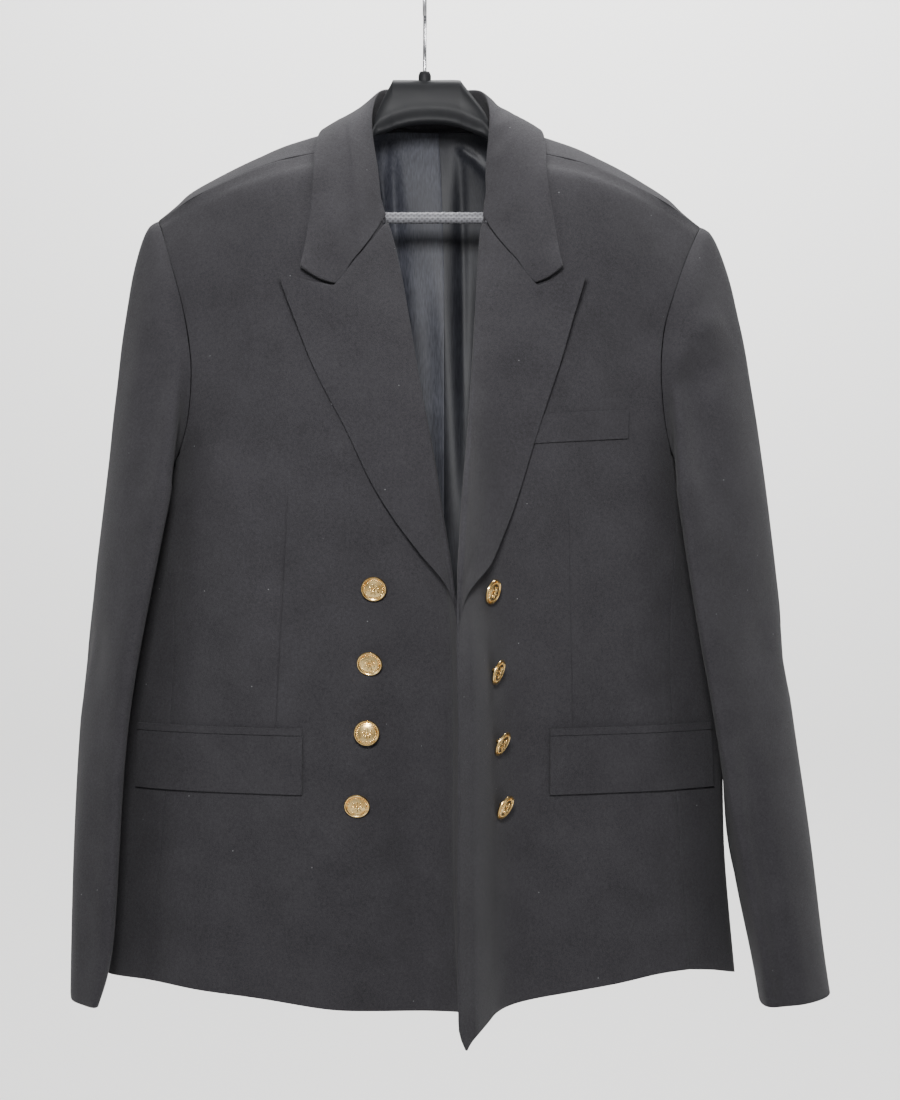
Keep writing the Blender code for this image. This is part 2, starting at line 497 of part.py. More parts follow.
def run_of(points):
    """Distance along a line of points, from its first one."""
    return np.concatenate([[0.0], np.cumsum(np.linalg.norm(np.diff(points, axis=0), axis=1))])


def run_at_x(points, x):
    order = np.argsort(points[:, 0])
    return float(np.interp(x, points[order, 0], run_of(points)[order]))


def column_marks(points, start_x, length):
    """Distances from an x on a level line: its two ends and each of the line's own points between."""
    inside = run_of(points) - run_at_x(points, start_x)
    inside = inside[(inside > 0.004) & (inside < length - 0.004)]
    return np.concatenate([[0.0], inside, [length]])


def along_line(points, normals, start_x, distances):
    """Points and normals at distances round a level line, from where it passes an x."""
    run = run_of(points)
    marks = run_at_x(points, start_x) + np.asarray(distances)
    return read_across(marks, run, points), unit(read_across(marks, run, normals))


def spread(grid, normals, factor=3):
    """A denser set of points and normals on a grid."""
    rows = np.linspace(0, grid.shape[0] - 1, (grid.shape[0] - 1) * factor + 1)
    columns = np.linspace(0, grid.shape[1] - 1, (grid.shape[1] - 1) * factor + 1)
    i = np.minimum(rows.astype(int), grid.shape[0] - 2)
    j = np.minimum(columns.astype(int), grid.shape[1] - 2)
    s = (rows - i)[:, None, None]
    t = (columns - j)[None, :, None]
    result = []
    for field in (grid, normals):
        upper = field[i][:, j] * (1 - t) + field[i][:, j + 1] * t
        lower = field[i + 1][:, j] * (1 - t) + field[i + 1][:, j + 1] * t
        result.append((upper * (1 - s) + lower * s).reshape(-1, 3))
    return result[0], unit(result[1])


def lifted(points, cloth_points, cloth_normals, clearance):
    """The points moved off the cloth below them, where they are nearer than the clearance."""
    flat = points.reshape(-1, 3).copy()
    clearance = np.broadcast_to(clearance, points.shape[:-1]).reshape(-1)
    for k, point in enumerate(flat):
        near = np.argmin(((cloth_points - point) ** 2).sum(axis=1))
        normal = cloth_normals[near]
        height = (point - cloth_points[near]).dot(normal)
        if height < clearance[k]:
            flat[k] = point + normal * (clearance[k] - height)
    return flat.reshape(points.shape)


def held_inside(points, cloth_points, cloth_normals, depth):
    """The points moved in under the cloth, where they are nearer to its outside than the depth."""
    flat = points.reshape(-1, 3).copy()
    for k, point in enumerate(flat):
        near = np.argmin(((cloth_points - point) ** 2).sum(axis=1))
        normal = cloth_normals[near]
        height = (point - cloth_points[near]).dot(normal)
        if height > -depth:
            flat[k] = point - normal * (height + depth)
    return flat.reshape(points.shape)


def resampled(points, count):
    points = np.asarray(points)
    run = run_of(points)
    marks = np.linspace(0, run[-1], count + 1)
    return read_across(marks, run, points)


# Clear the scene and make the materials
for old in list(bpy.data.objects):
    bpy.data.objects.remove(old, do_unlink=True)

materials = {}
for colour_name, (red, green, blue, roughness, metal) in COLOURS.items():
    material = bpy.data.materials.new(colour_name)
    material.use_nodes = True
    shader = material.node_tree.nodes["Principled BSDF"]
    shader.inputs["Base Color"].default_value = (red, green, blue, 1.0)
    shader.inputs["Roughness"].default_value = roughness
    shader.inputs["Metallic"].default_value = metal
    materials[colour_name] = material


def own_material(source, name):
    copy = materials[source].copy()
    copy.name = name
    return copy


# The body's surfaces, half by half
FRONT_STEPS = (3, 3, 3, 3)
SIDE_STEPS = (2, 2)
BACK_STEPS = (2, 2, 2, 1, 2)
LOWER_STEPS = (2, 2, 2, 1, 2, 2)
FRONT_UPPER_STEPS = (1, 1, 2, 2, 2, 1, 2)
BACK_UPPER_STEPS = (1, 1, 1, 1, 2, 1, 2, 1)

halves = {}
for half, front_table, mirror in (("right", RIGHT_FRONT, 1), ("left", LEFT_FRONT, -1)):
    back_rows = []
    for row in BACK:
        share, drop = (1.0, 0.0) if half == "right" else row[7:9]
        outer_x = abs(row[6][0])
        back_rows.append(
            [(mirror * x * share, y, z + drop * (abs(x) / outer_x) ** 2) for x, y, z in row[1:7]]
        )
    ring_front = []
    ring_side = []
    ring_back = []
    front_marks = stations(FRONT_STEPS)
    for level in range(LOWER_ROWS):
        _, side_y, side_z, right_x, left_x = SIDE_LINE[level]
        side_x = right_x if half == "right" else left_x
        line = list(front_table[level][1:]) + [(side_x, side_y, side_z)] + back_rows[level][::-1]
        marks = stations(FRONT_STEPS + SIDE_STEPS + BACK_STEPS[::-1])
        ring = curve_through(line, marks)
        first = sum(FRONT_STEPS)
        second = first + sum(SIDE_STEPS)
        ring_front.append(ring[: first + 1])
        ring_side.append(ring[first : second + 1])
        ring_back.append(ring[second:][::-1])
    for row in front_table[LOWER_ROWS:-1]:
        ring_front.append(curve_through(row[1:], front_marks))
    for row in back_rows[LOWER_ROWS:-1]:
        ring_back.append(curve_through(row, stations(BACK_STEPS)))
    ring_back.append(kinked_curve(np.array(back_rows[-1]), 2, stations(BACK_STEPS)))
    shoulder_line = curve_through(back_rows[-1][2:], np.linspace(0, 3, 61))
    shoulder_share = run_of(curve_through(front_table[-1][1:], front_marks))
    shoulder_share = shoulder_share / shoulder_share[-1]
    line_share = run_of(shoulder_line) / run_of(shoulder_line)[-1]
    ring_front.append(read_across(shoulder_share, line_share, shoulder_line))
    front = down_columns(ring_front, stations(LOWER_STEPS + FRONT_UPPER_STEPS))
    back = down_columns(ring_back, stations(LOWER_STEPS + BACK_UPPER_STEPS))
    side = down_columns(ring_side, stations(LOWER_STEPS))
    low = sum(LOWER_STEPS) + 1
    side[:, 0] = front[:low, -1]
    side[:, -1] = back[:low, -1]

    front_normals = facing(normals_of(front), front, (0.0, 0.05, -0.5))
    back_normals = facing(normals_of(back), back, (0.0, 0.0, -0.5))
    side_normals = facing(normals_of(side), side, (0.0, 0.0, -0.5))
    for upper, outer_normals in ((0, front_normals), (-1, back_normals)):
        shared = unit(outer_normals[:low, -1] + side_normals[:, upper])
        outer_normals[:low, -1] = shared
        side_normals[:, upper] = shared
    neck_column = sum(BACK_STEPS[:2])
    seam_share = run_of(back[-1, neck_column:])
    seam_share = seam_share / seam_share[-1]
    front_share = run_of(front[-1]) / run_of(front[-1])[-1]
    seam_back = read_across(front_share, seam_share, back_normals[-1, neck_column:])
    seam_front = read_across(seam_share, front_share, front_normals[-1])
    front_normals[-1] = unit(front_normals[-1] + seam_back)
    back_normals[-1, neck_column:] = unit(back_normals[-1, neck_column:] + seam_front)
    halves[half] = {
        "front": (front, front_normals),
        "side": (side, side_normals),
        "back": (back, back_normals),
        "low": low,
    }

# Both halves of the back share the normals of the centre seam, and each front
# shares those of the shoulder seam with the back
for half in halves.values():
    half["back"][1][:, 0] *= (0.0, 1.0, 1.0)
    half["back"][1][:, 0] = unit(half["back"][1][:, 0])

for half, mirror in (("right", 1), ("left", -1)):
    parts = halves[half]
    low = parts["low"]
    front, front_normals = parts["front"]
    side, side_normals = parts["side"]
    back, back_normals = parts["back"]

    cut = front.copy()
    inset(cut, "last column", SEAM_GAP / 2)
    inset(cut, "last row", SEAM_GAP * 1.5)
    break_row = sum(LOWER_STEPS[:4])
    gorge_row = sum(LOWER_STEPS) + sum(FRONT_UPPER_STEPS[:5])
    for i in range(break_row, gorge_row + 1):
        cut[i, 0] += unit(cut[i, 1] - cut[i, 0]) * ROLL_INSET
    wall(f"front_{half}", cut, front_normals, own_material("wool", f"wool front {half}"))

    cut = side.copy()
    inset(cut, "first column", SEAM_GAP / 2)
    inset(cut, "last column", SEAM_GAP / 2)
    wall(f"side_{half}", cut, side_normals, own_material("wool", f"wool side {half}"))

    cut = back.copy()
    inset(cut, "first column", SEAM_GAP / 2)
    inset(cut, "last column", SEAM_GAP / 2)
    inset(cut, "last row", SEAM_GAP / 2)
    wall(f"back_{half}", cut, back_normals, own_material("wool", f"wool back {half}"))

# Sleeves
SLEEVE_SIDES = 20


def sleeve_ring(z, outer_x, inner_x, centre_y, half_depth, crease_x):
    """A flattened ring with a soft crease at its front and back, starting at the outer side."""
    middle = (outer_x + inner_x) / 2
    half_width = (outer_x - inner_x) / 2
    dense = []
    for k in range(240):
        turn = 2 * math.pi * k / 240
        forward = math.sin(turn)
        lean = max(0.0, forward) ** 2 * (crease_x - middle)
        back_lean = max(0.0, -forward) ** 2 * (crease_x - middle) * -0.4
        swell = math.copysign(abs(math.cos(turn)) ** 1.15, math.cos(turn))
        x = middle + half_width * swell + lean + back_lean
        y = centre_y - half_depth * forward
        dense.append((SLEEVE_PIVOT + (x - SLEEVE_PIVOT) * (1 + SLEEVE_TURN * y), y, z))
    dense.append(dense[0])
    return resampled(dense, SLEEVE_SIDES)[:-1]


for half, table, mirror in (("right", RIGHT_SLEEVE, -1), ("left", LEFT_SLEEVE, 1)):
    parts = halves[half]
    low = parts["low"]
    front, side, back = parts["front"][0], parts["side"][0], parts["back"][0]
    middle = side.shape[1] // 2
    first_half = list(front[low - 1 :, -1][::-1]) + list(side[-1, 1 : middle + 1])
    second_half = list(side[-1, middle:-1]) + list(back[low - 1 :, -1])
    half_sides = SLEEVE_SIDES // 2
    armhole = np.concatenate(
        [resampled(first_half, half_sides), resampled(second_half, half_sides)[1:-1]]
    )
    armhole[:, 0] += mirror * ARMHOLE_GAP
    rings = [sleeve_ring(*row) for row in table]
    upper_arm = rings[0]
    cap = []
    for u in CAP_STEPS[:-1]:
        ring = []
        for k in range(SLEEVE_SIDES):
            turn = 2 * math.pi * k / SLEEVE_SIDES
            top = (1 + math.cos(turn)) / 2
            reach = np.linalg.norm(upper_arm[k] - armhole[k])
            leave = reach * np.array([mirror * 0.30, -0.22 * math.sin(turn), -0.50 * (1 - top)])
            arrive = reach * np.array([mirror * 0.13, 0.0, -1.0])
            ring.append(
                (1 + 2 * u) * (1 - u) ** 2 * armhole[k]
                + u * (1 - u) ** 2 * leave
                + u * u * (3 - 2 * u) * upper_arm[k]
                - u * u * (1 - u) * arrive
            )
        cap.append(ring)
    lower_marks = stations((1, 1, 1, 1, 1))
    lower = down_columns(np.array(rings), lower_marks)
    grid = np.concatenate([np.array(cap), lower])
    normals = facing(normals_of(grid, closed=True), grid, grid.mean(axis=(0, 1)))
    wall(f"sleeve_{half}", grid, normals, own_material("wool", f"wool sleeve {half}"), closed=True)

# Dense cloth surfaces that the collar and lapels rest on
cloth_points = []
cloth_normals = []
for half in halves.values():
    for part in ("front", "back"):
        at, there = spread(*half[part])
        cloth_points.append(at)
        cloth_normals.append(there)
cloth_points = np.concatenate(cloth_points)
cloth_normals = np.concatenate(cloth_normals)


def folded_section(foot, fold, leaf):
    """Points across a collar section: stand, rounded fold and leaf."""
    down_stand = unit(foot - fold)
    down_leaf = unit(leaf[0] - fold)
    crown = -unit(down_stand + down_leaf)
    apart = unit(down_leaf - down_stand)
    core = fold - crown * FOLD_RADIUS
    inner = core - apart * FOLD_RADIUS - crown * 0.0015
    outer = core + apart * FOLD_RADIUS - crown * 0.0010
    return [foot, (foot + inner) / 2, inner, fold, outer, *leaf]


# Collar
left_rows = [(row[0], *[(-x, y, z) for x, y, z in row[1:]]) for row in COLLAR_RIGHT[1:-4]]
collar_rows = list(COLLAR_RIGHT[::-1]) + left_rows + list(COLLAR_LEFT_END)
control = []
for row in collar_rows:
    foot, fold, beyond, notch, edge = (np.array(p, float) for p in row[1:])
    control.append([foot, fold, beyond, (beyond + notch) / 2, notch, edge])
control = np.array(control)
neckline = []
for half in halves.values():
    gorge_row = sum(LOWER_STEPS) + sum(FRONT_UPPER_STEPS[:5])
    neckline += list(half["front"][0][gorge_row:, 0])
    top = half["back"][0][-1, : sum(BACK_STEPS[:2]) + 1]
    neckline += list(resampled(top, 24))
neckline = np.array(neckline)
collar_marks = stations((2, 1, 1, 1, 1, 1, 1, 1, 1, 1, 1, 1, 1, 1, 1, 2))
fine = down_columns(control, collar_marks)
for k, foot in enumerate(fine[:, 0]):
    seat = neckline[np.argmin(((neckline - foot) ** 2).sum(axis=1))]
    fine[k, 0] = seat + unit(fine[k, 1] - seat) * COLLAR_FOOT
leaf = lifted(fine[:, 2:], cloth_points, cloth_normals, COLLAR_LIFT + LEAF_WALL / 2)
leaf = np.array([curve_through(row, np.array([0, 0.5, 1.0, 1.5, 2.0, 2.5, 3.0])) for row in leaf])
leaf = lifted(leaf, cloth_points, cloth_normals, COLLAR_LIFT + LEAF_WALL / 2)
collar = np.array([folded_section(f[0], f[1], l) for f, l in zip(fine, leaf)])
collar_normals = normals_of(collar)
wall("collar", collar, collar_normals, own_material("wool", "wool collar"), LEAF_WALL / 2, LEAF_WALL / 2)

# Lapels
for half, table in (("right", LAPEL_RIGHT), ("left", LAPEL_LEFT)):
    rows = down_columns(np.array(table, float), stations((1,) * (len(table) - 1)))
    roll, notch, edge = rows[:, 0], rows[:, 1], rows[:, 2]
    front, front_normals = halves[half]["front"]
    edge_height = front[:, 0, 2]
    outwards = unit(read_across(roll[:, 2], edge_height, front_normals[:, 0]))
    roll[:, :2] = read_across(roll[:, 2], edge_height, front[:, 0])[:, :2]
    along_roll = unit(np.gradient(roll, axis=0))
    leaf = np.stack(
        [
            roll * 0.67 + notch * 0.33,
            roll * 0.33 + notch * 0.67,
            notch,
            notch * 0.5 + edge * 0.5,
            edge,
        ],
        axis=1,
    )
    clearance = np.array([0.0018, 0.0022, 0.0026, 0.0028, 0.0028]) + LEAF_WALL / 2
    leaf = lifted(leaf, cloth_points, cloth_normals, clearance[None, :])
    sections = []
    for i in range(len(rows)):
        outward = outwards[i]
        inward = unit(np.cross(outward, along_roll[i]))
        if inward.dot(leaf[i, 0] - roll[i]) < 0:
            inward = -inward
        base = roll[i] - outward * WALL / 2
        turn = [
            base + inward * (ROLL_INSET - 0.0012),
            base + inward * FOLD_RADIUS * 0.9,
            base + inward * FOLD_RADIUS * 0.15 + outward * FOLD_RADIUS * 0.6,
            base + inward * FOLD_RADIUS * 0.15 + outward * FOLD_RADIUS * 1.5,
            base + inward * FOLD_RADIUS * 1.1 + outward * FOLD_RADIUS * 2.15,
        ]
        sections.append(turn + list(leaf[i]))
    grid = np.array(sections)
    material = own_material("wool", f"wool lapel {half}")
    wall(f"lapel_{half}", grid, normals_of(grid), material, LEAF_WALL / 2, LEAF_WALL / 2)

# Pockets
for half, mirror in (("right", -1), ("left", 1)):
    parts = halves[half]
    low = parts["low"]
    grid = np.concatenate([parts["front"][0][:low], parts["side"][0][:, 1:]], axis=1)
    normals = np.concatenate([parts["front"][1][:low], parts["side"][1][:, 1:]], axis=1)
    start = FLAP_START[half]
    middle_line, _ = level_line(grid, normals, (FLAP_TOP + FLAP_BOTTOM) / 2)
    reach = column_marks(middle_line, start, FLAP_LENGTH)
    for name, heights, lifts in (
        ("flap", (FLAP_TOP, -0.6620, -0.6800, FLAP_BOTTOM), (0.0, 0.0003, 0.0006, 0.0008)),
        ("jet", (JET_TOP, JET_BOTTOM), (0.0005, 0.0005)),
    ):
        rows = []
        row_normals = []
        for height, lift in zip(heights, lifts):
            line, line_normals = level_line(grid, normals, height)
            at, there = along_line(line, line_normals, start, reach)
            rows.append(at + there * (POCKET_LIFT + lift + POCKET_WALL / 2))
            row_normals.append(there)
        material = own_material("wool", f"wool {name} {half}")
        wall(
            f"{name}_{half}",
            np.array(rows),
            np.array(row_normals),
            material,
            POCKET_WALL / 2,
            POCKET_WALL / 2,
        )

parts = halves["left"]
front, front_normals = parts["front"]
rows = []
row_normals = []
for share in (0.0, 0.33, 0.67, 1.0):
    ends = [
        tuple(a * (1 - share) + b * share for a, b in zip(low_end, top_end))
        for low_end, top_end in zip(WELT_BOTTOM, WELT_TOP)
    ]
    row = []
    there_row = []
    for across in np.linspace(0, 1, 8):
        x = ends[0][0] * (1 - across) + ends[1][0] * across
        z = ends[0][1] * (1 - across) + ends[1][1] * across
        line, line_normals = level_line(front, front_normals, z)
        at, there = along_line(line, line_normals, x, [0.0])
        row.append(at[0] + there[0] * (POCKET_LIFT + POCKET_WALL / 2))
        there_row.append(there[0])
    rows.append(row)
    row_normals.append(there_row)
material = own_material("wool", "wool welt")
wall("welt_left", np.array(rows), np.array(row_normals), material, POCKET_WALL / 2, POCKET_WALL / 2)

# Buttons
for name, half, x, z, aside, down in BUTTONS:
    front, front_normals = halves[half]["front"]
    line, line_normals = level_line(front, front_normals, z)
    at, there = along_line(line, line_normals, x, [0.0])
    axis = unit(there[0] + (aside, 0.0, down))
    level = unit(np.cross(axis, (0, 0, 1)))
    upright = np.cross(level, axis)
    rings = []
    for radius, height in BUTTON_OUTLINE:
        turns = [2 * math.pi * k / BUTTON_SIDES for k in range(BUTTON_SIDES)]
        rings.append(
            [at[0] + axis * height + radius * (math.cos(a) * level + math.sin(a) * upright) for a in turns]
        )
    button = loft(name, rings, own_material("brass", name.replace("_", " ")))
    dome = button.data.vertices[len(button.data.vertices) - 1]
    for k in range(3):
        dome.co[k] += axis[k] * DOME_RISE

# Back lining, up to just below the collar's seam
LINING_ROWS = (1, 3, 5, 7, 9, 11, 13, 15, 17, 19, 20)
LINING_TOP = 0.8
for half in ("right", "left"):
    back, back_normals = halves[half]["back"]
    width = sum(BACK_STEPS[:2]) + 1
    levels = [*LINING_ROWS, len(back) - 2 + LINING_TOP]
    sheet = down_columns(back[:, :width], np.array(levels))
    there = unit(down_columns(back_normals[:, :width], np.array(levels)))
    sheet = sheet - there * (WALL + LINING_GAP)
    inset(sheet, "first column", SEAM_GAP / 2)
    wall(f"lining_{half}", sheet, there, own_material("lining", f"lining {half}"), 0.0, LINING_WALL)

# Hanger: arms, a post at each end of the bar and a boss for the hook, joined into one solid
HANGER_SIDES = 12


def rounded_ring(x, middle_y, middle_z, half_depth, half_height):
    ring = []
    for k in range(HANGER_SIDES):
        turn = 2 * math.pi * k / HANGER_SIDES
        across = math.copysign(abs(math.cos(turn)) ** 0.8, math.cos(turn))
        up = math.copysign(abs(math.sin(turn)) ** 0.8, math.sin(turn))
        ring.append((x, middle_y + half_depth * across, middle_z + half_height * up))
    return ring


arm = [(-x, *rest) for x, *rest in HANGER_ARM[::-1]] + list(HANGER_MIDDLE) + list(HANGER_ARM)
rings = np.array(
    [rounded_ring(x, 0.0, top - height / 2, depth, height / 2) for x, top, height, depth in arm]
)
outer = np.abs(rings[:, 0, 0]) > 0.062
for _ in range(3):
    rings[outer] = held_inside(rings[outer], cloth_points, cloth_normals, WALL + 0.0018)
hanger = loft("hanger", rings, own_material("plastic", "plastic hanger"))



def level_ring(x, z, half_width, half_depth, sides):
    turns = [2 * math.pi * k / sides for k in range(sides)]
    return [(x + half_width * math.cos(a), half_depth * math.sin(a), z) for a in turns]


helpers = []
for side_sign in (-1, 1):
    post_x = side_sign * (BAR_HALF + POST_OUT)
    post = [level_ring(post_x, z, POST_HALF_WIDTH, POST_HALF_DEPTH, 10) for z in POST_ENDS]
    helpers.append(loft(f"post_{side_sign}", post, materials["plastic"]))
boss = [level_ring(0.0, z, radius, radius, 12) for z, radius in BOSS_OUTLINE]
helpers.append(loft("boss", boss, materials["plastic"]))
for helper in helpers:
    helper.hide_render = True
    helper.display_type = "WIRE"
    joined = hanger.modifiers.new(helper.name, "BOOLEAN")
    joined.operation = "UNION"
    joined.solver = "EXACT"
    joined.object = helper

# Trouser bar with shallow ribs, between the posts
bar_path = [(x, 0.0, BAR_HEIGHT) for x in np.linspace(-BAR_HALF, BAR_HALF, 3)]
tube("trouser_bar", bar_path, BAR_RADIUS, 12, own_material("bar", "bar grey"))

# Hook: up from the boss, a bend back, then round over the rail
hook_middle = HOOK_RADIUS - WIRE_RADIUS
path = list(HOOK_STEM)
for k in range(12):
    turn = math.radians(-8 + 21 * k)
    path.append((0.0, HOOK_RADIUS * math.cos(turn), -hook_middle + HOOK_RADIUS * math.sin(turn)))
tube("hook", path, WIRE_RADIUS, 8, own_material("steel", "steel hook"))

for obj in bpy.data.objects:
    if obj.name not in ("hook", "boss"):
        obj.data.transform(Matrix.Translation((HANG_SHIFT, 0.0, 0.0)))
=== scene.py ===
"""The finish of a reefer jacket that hangs open on a suit hanger, in metres.

The origin is the inside top of the hanger's hook, +Z is up, the front faces -Y
and +X is the wearer's left. Right and left are the wearer's.
"""

import math

import bmesh
import bpy
import numpy as np
from mathutils import Matrix, Vector
from mathutils.bvhtree import BVHTree


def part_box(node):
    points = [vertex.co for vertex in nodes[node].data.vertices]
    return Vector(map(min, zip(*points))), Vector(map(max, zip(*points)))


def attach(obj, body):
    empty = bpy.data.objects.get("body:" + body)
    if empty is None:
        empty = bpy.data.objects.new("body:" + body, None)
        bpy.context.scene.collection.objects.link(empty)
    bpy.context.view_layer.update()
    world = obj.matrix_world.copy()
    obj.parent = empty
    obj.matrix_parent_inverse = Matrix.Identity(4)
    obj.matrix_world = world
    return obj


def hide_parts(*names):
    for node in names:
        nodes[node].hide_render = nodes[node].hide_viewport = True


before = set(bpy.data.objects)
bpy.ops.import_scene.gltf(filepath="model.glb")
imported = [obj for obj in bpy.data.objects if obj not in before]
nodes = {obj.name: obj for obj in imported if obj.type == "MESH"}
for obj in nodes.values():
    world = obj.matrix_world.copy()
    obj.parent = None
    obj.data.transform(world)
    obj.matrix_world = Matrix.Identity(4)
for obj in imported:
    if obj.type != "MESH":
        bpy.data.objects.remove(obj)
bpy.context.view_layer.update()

# Camera: level with the middle of the jacket and square to it, as a person holds one
# a couple of metres from a garment on a rail.
CAMERA_PLACE = (0.0220, -2.0, -0.496)
CAMERA_LENS = 75.2
CAMERA_SENSOR = 36

bpy.ops.object.select_all(action="DESELECT")
bpy.ops.object.camera_add(location=CAMERA_PLACE, rotation=(math.radians(90), 0, 0))
camera = bpy.context.object
camera.name = "camera"
camera.data.lens = CAMERA_LENS
camera.data.sensor_width = CAMERA_SENSOR
bpy.context.scene.camera = camera

# Light and stage: a small light close above the camera, a broad faint one for the room, a
# weaker one at each side and one on the wall, and a pale floor that sweeps up into a wall.
# Each light: place, what it is aimed at, size and power.
MAIN_LIGHT = ((-0.05, -1.65, 0.08), (0.0, 0.0, -0.32), 0.32, 11.0)
MAIN_SPREAD = math.radians(110)
ROOM_LIGHT = ((0.0, -3.4, -0.2), (0.0, 0.0, -0.45), 3.2, 14)
LEFT_FILL = ((-2.2, -1.6, -0.3), (0.0, 0.0, -0.5), 1.2, 9)
RIGHT_FILL = ((2.2, -1.6, -0.4), (0.0, 0.0, -0.6), 1.2, 7)
WALL_LIGHT = ((0.3, 1.0, 2.3), (0.2, 3.4, -0.1), 2.4, 430)
WORLD_TONE = (0.88, 0.89, 0.92)
WORLD_STRENGTH = 0.25
STAGE_HALF_WIDTH = 5.0
FLOOR_FRONT = -5.0
FLOOR_HEIGHT = -1.85
WALL_BACK = 3.4
WALL_TOP = 1.1
SWEEP_RADIUS = 0.9
SWEEP_SEGMENTS = 16
NEAR_EDGE = 0.01
PAINT_TONE = (0.78, 0.775, 0.765)
PAINT_ROUGHNESS = 0.9


def aimed_light(name, place, target, size, power):
    bpy.ops.object.light_add(type="AREA", location=place)
    light = bpy.context.object
    light.name = name
    light.data.size = size
    light.data.energy = power
    light.rotation_euler = (Vector(target) - Vector(place)).to_track_quat("-Z", "Y").to_euler()


aimed_light("main_light", *MAIN_LIGHT)
bpy.context.object.data.spread = MAIN_SPREAD
aimed_light("room_light", *ROOM_LIGHT)
aimed_light("left_fill", *LEFT_FILL)
aimed_light("right_fill", *RIGHT_FILL)
aimed_light("wall_light", *WALL_LIGHT)

world = bpy.data.worlds.new("room")
world.use_nodes = True
world.node_tree.nodes["Background"].inputs["Color"].default_value = (*WORLD_TONE, 1)
world.node_tree.nodes["Background"].inputs["Strength"].default_value = WORLD_STRENGTH
bpy.context.scene.world = world

bpy.ops.mesh.primitive_plane_add(size=2, location=(0, 0, 0))
backdrop = bpy.context.object
backdrop.name = "backdrop"
bpy.ops.object.mode_set(mode="EDIT")
bpy.ops.mesh.select_all(action="SELECT")
bpy.ops.transform.resize(value=(STAGE_HALF_WIDTH, (WALL_BACK - FLOOR_FRONT) / 2, 1))
bpy.ops.transform.translate(value=(0, (WALL_BACK + FLOOR_FRONT) / 2, FLOOR_HEIGHT))
bpy.ops.mesh.select_mode(type="EDGE")
bpy.ops.mesh.select_all(action="DESELECT")
sheet = bmesh.from_edit_mesh(backdrop.data)
for edge in sheet.edges:
    edge.select = all(corner.co.y > WALL_BACK - NEAR_EDGE for corner in edge.verts)
bmesh.update_edit_mesh(backdrop.data)
bpy.ops.mesh.extrude_region_move(TRANSFORM_OT_translate={"value": (0, 0, WALL_TOP - FLOOR_HEIGHT)})
bpy.ops.mesh.select_all(action="DESELECT")
sheet = bmesh.from_edit_mesh(backdrop.data)
for edge in sheet.edges:
    at_back = all(corner.co.y > WALL_BACK - NEAR_EDGE for corner in edge.verts)
    edge.select = at_back and all(corner.co.z < FLOOR_HEIGHT + NEAR_EDGE for corner in edge.verts)
bmesh.update_edit_mesh(backdrop.data)
bpy.ops.mesh.bevel(offset=SWEEP_RADIUS, segments=SWEEP_SEGMENTS, affect="EDGES")
bpy.ops.object.mode_set(mode="OBJECT")
bpy.ops.object.shade_smooth()
paint = bpy.data.materials.new("pale paint")
paint.use_nodes = True
paint.node_tree.nodes["Principled BSDF"].inputs["Base Color"].default_value = (*PAINT_TONE, 1)
paint.node_tree.nodes["Principled BSDF"].inputs["Roughness"].default_value = PAINT_ROUGHNESS
backdrop.data.materials.append(paint)

# Body of the jacket: fronts, side panels and backs, cut from one heavy melton wool, felted
# so that its twill hardly shows. The panels are joined by plain pressed seams, and the whole
# hangs from the shoulders in long shallow folds.
#
# How a piece is cut from its solid: crease of a cut edge, round of a turned one, passes of
# the rounding, width of a wall's edge face, and the angles and distance used in joining
CUT_EDGE = 1.0
TURNED_EDGE = 0.00045
ROUNDING_PASSES = 3
NARROW_FACE = 0.0032
CUT_ANGLE = math.radians(50)
TURN_ANGLE = math.radians(60)
FLAT_ANGLE = math.radians(60)
SQUARE_ANGLE = math.radians(70)
SAME_POINT = 0.00005
BODY_LEVELS = 3

# The jacket hangs this far to the wearer's left of the hook
HANG_SHIFT = 0.0055

WOOL_DARK = (0.0200, 0.0188, 0.0216)
WOOL_LIGHT = (0.0520, 0.0500, 0.0552)
WOOL_LINT = (0.30, 0.30, 0.31)
WOOL_SPECULAR = 0.14
WOOL_SHEEN = 0.06
WOOL_SHEEN_ROUGHNESS = 0.60
NAP_SCALE = 1300
FELT_SCALE = 420
TWILL_SCALE = 620
MOTTLE_SCALE = 30
FLUFF_SCALE = 46
NAP_DEPTH = 0.00030
NAP_STRENGTH = 0.8

# Ways that a fold's place is looked for on the cloth
FROM_FRONT = Vector((0, 1, 0))
FROM_BACK = Vector((0, -1, 0))
FROM_RIGHT = Vector((1, 0, 0))
FROM_LEFT = Vector((-1, 0, 0))

# Darts: half width and depth of the seam, how near the cloth is cut, and which cloth
DART_HALF = 0.0006
DART_DEPTH = 0.0016
DART_BESIDE = 0.012
DART_LINE = 0.0001
DART_END = 0.01
FACES_FRONT = -0.3

# Corner of the left half's hem: top, length, edge and width, and how far it turns in
TIP_TOP = -0.868
TIP_LENGTH = 0.020
TIP_EDGE = 0.030
TIP_WIDTH = 0.020
TIP_TURN = 0.0055

# Centre back seam: how near a point is drawn in from, and how much of the way
BACK_REACH = 0.006
BACK_PULL = 0.92

# Waves of the hanging cloth: height, length across, length down, start of the wave
HANG_WAVES = (
    (0.0011, 0.170, 0.90, 0.4),
    (0.0007, 0.096, 0.52, 2.1),
    (0.0005, 0.061, 0.33, 4.0),
)


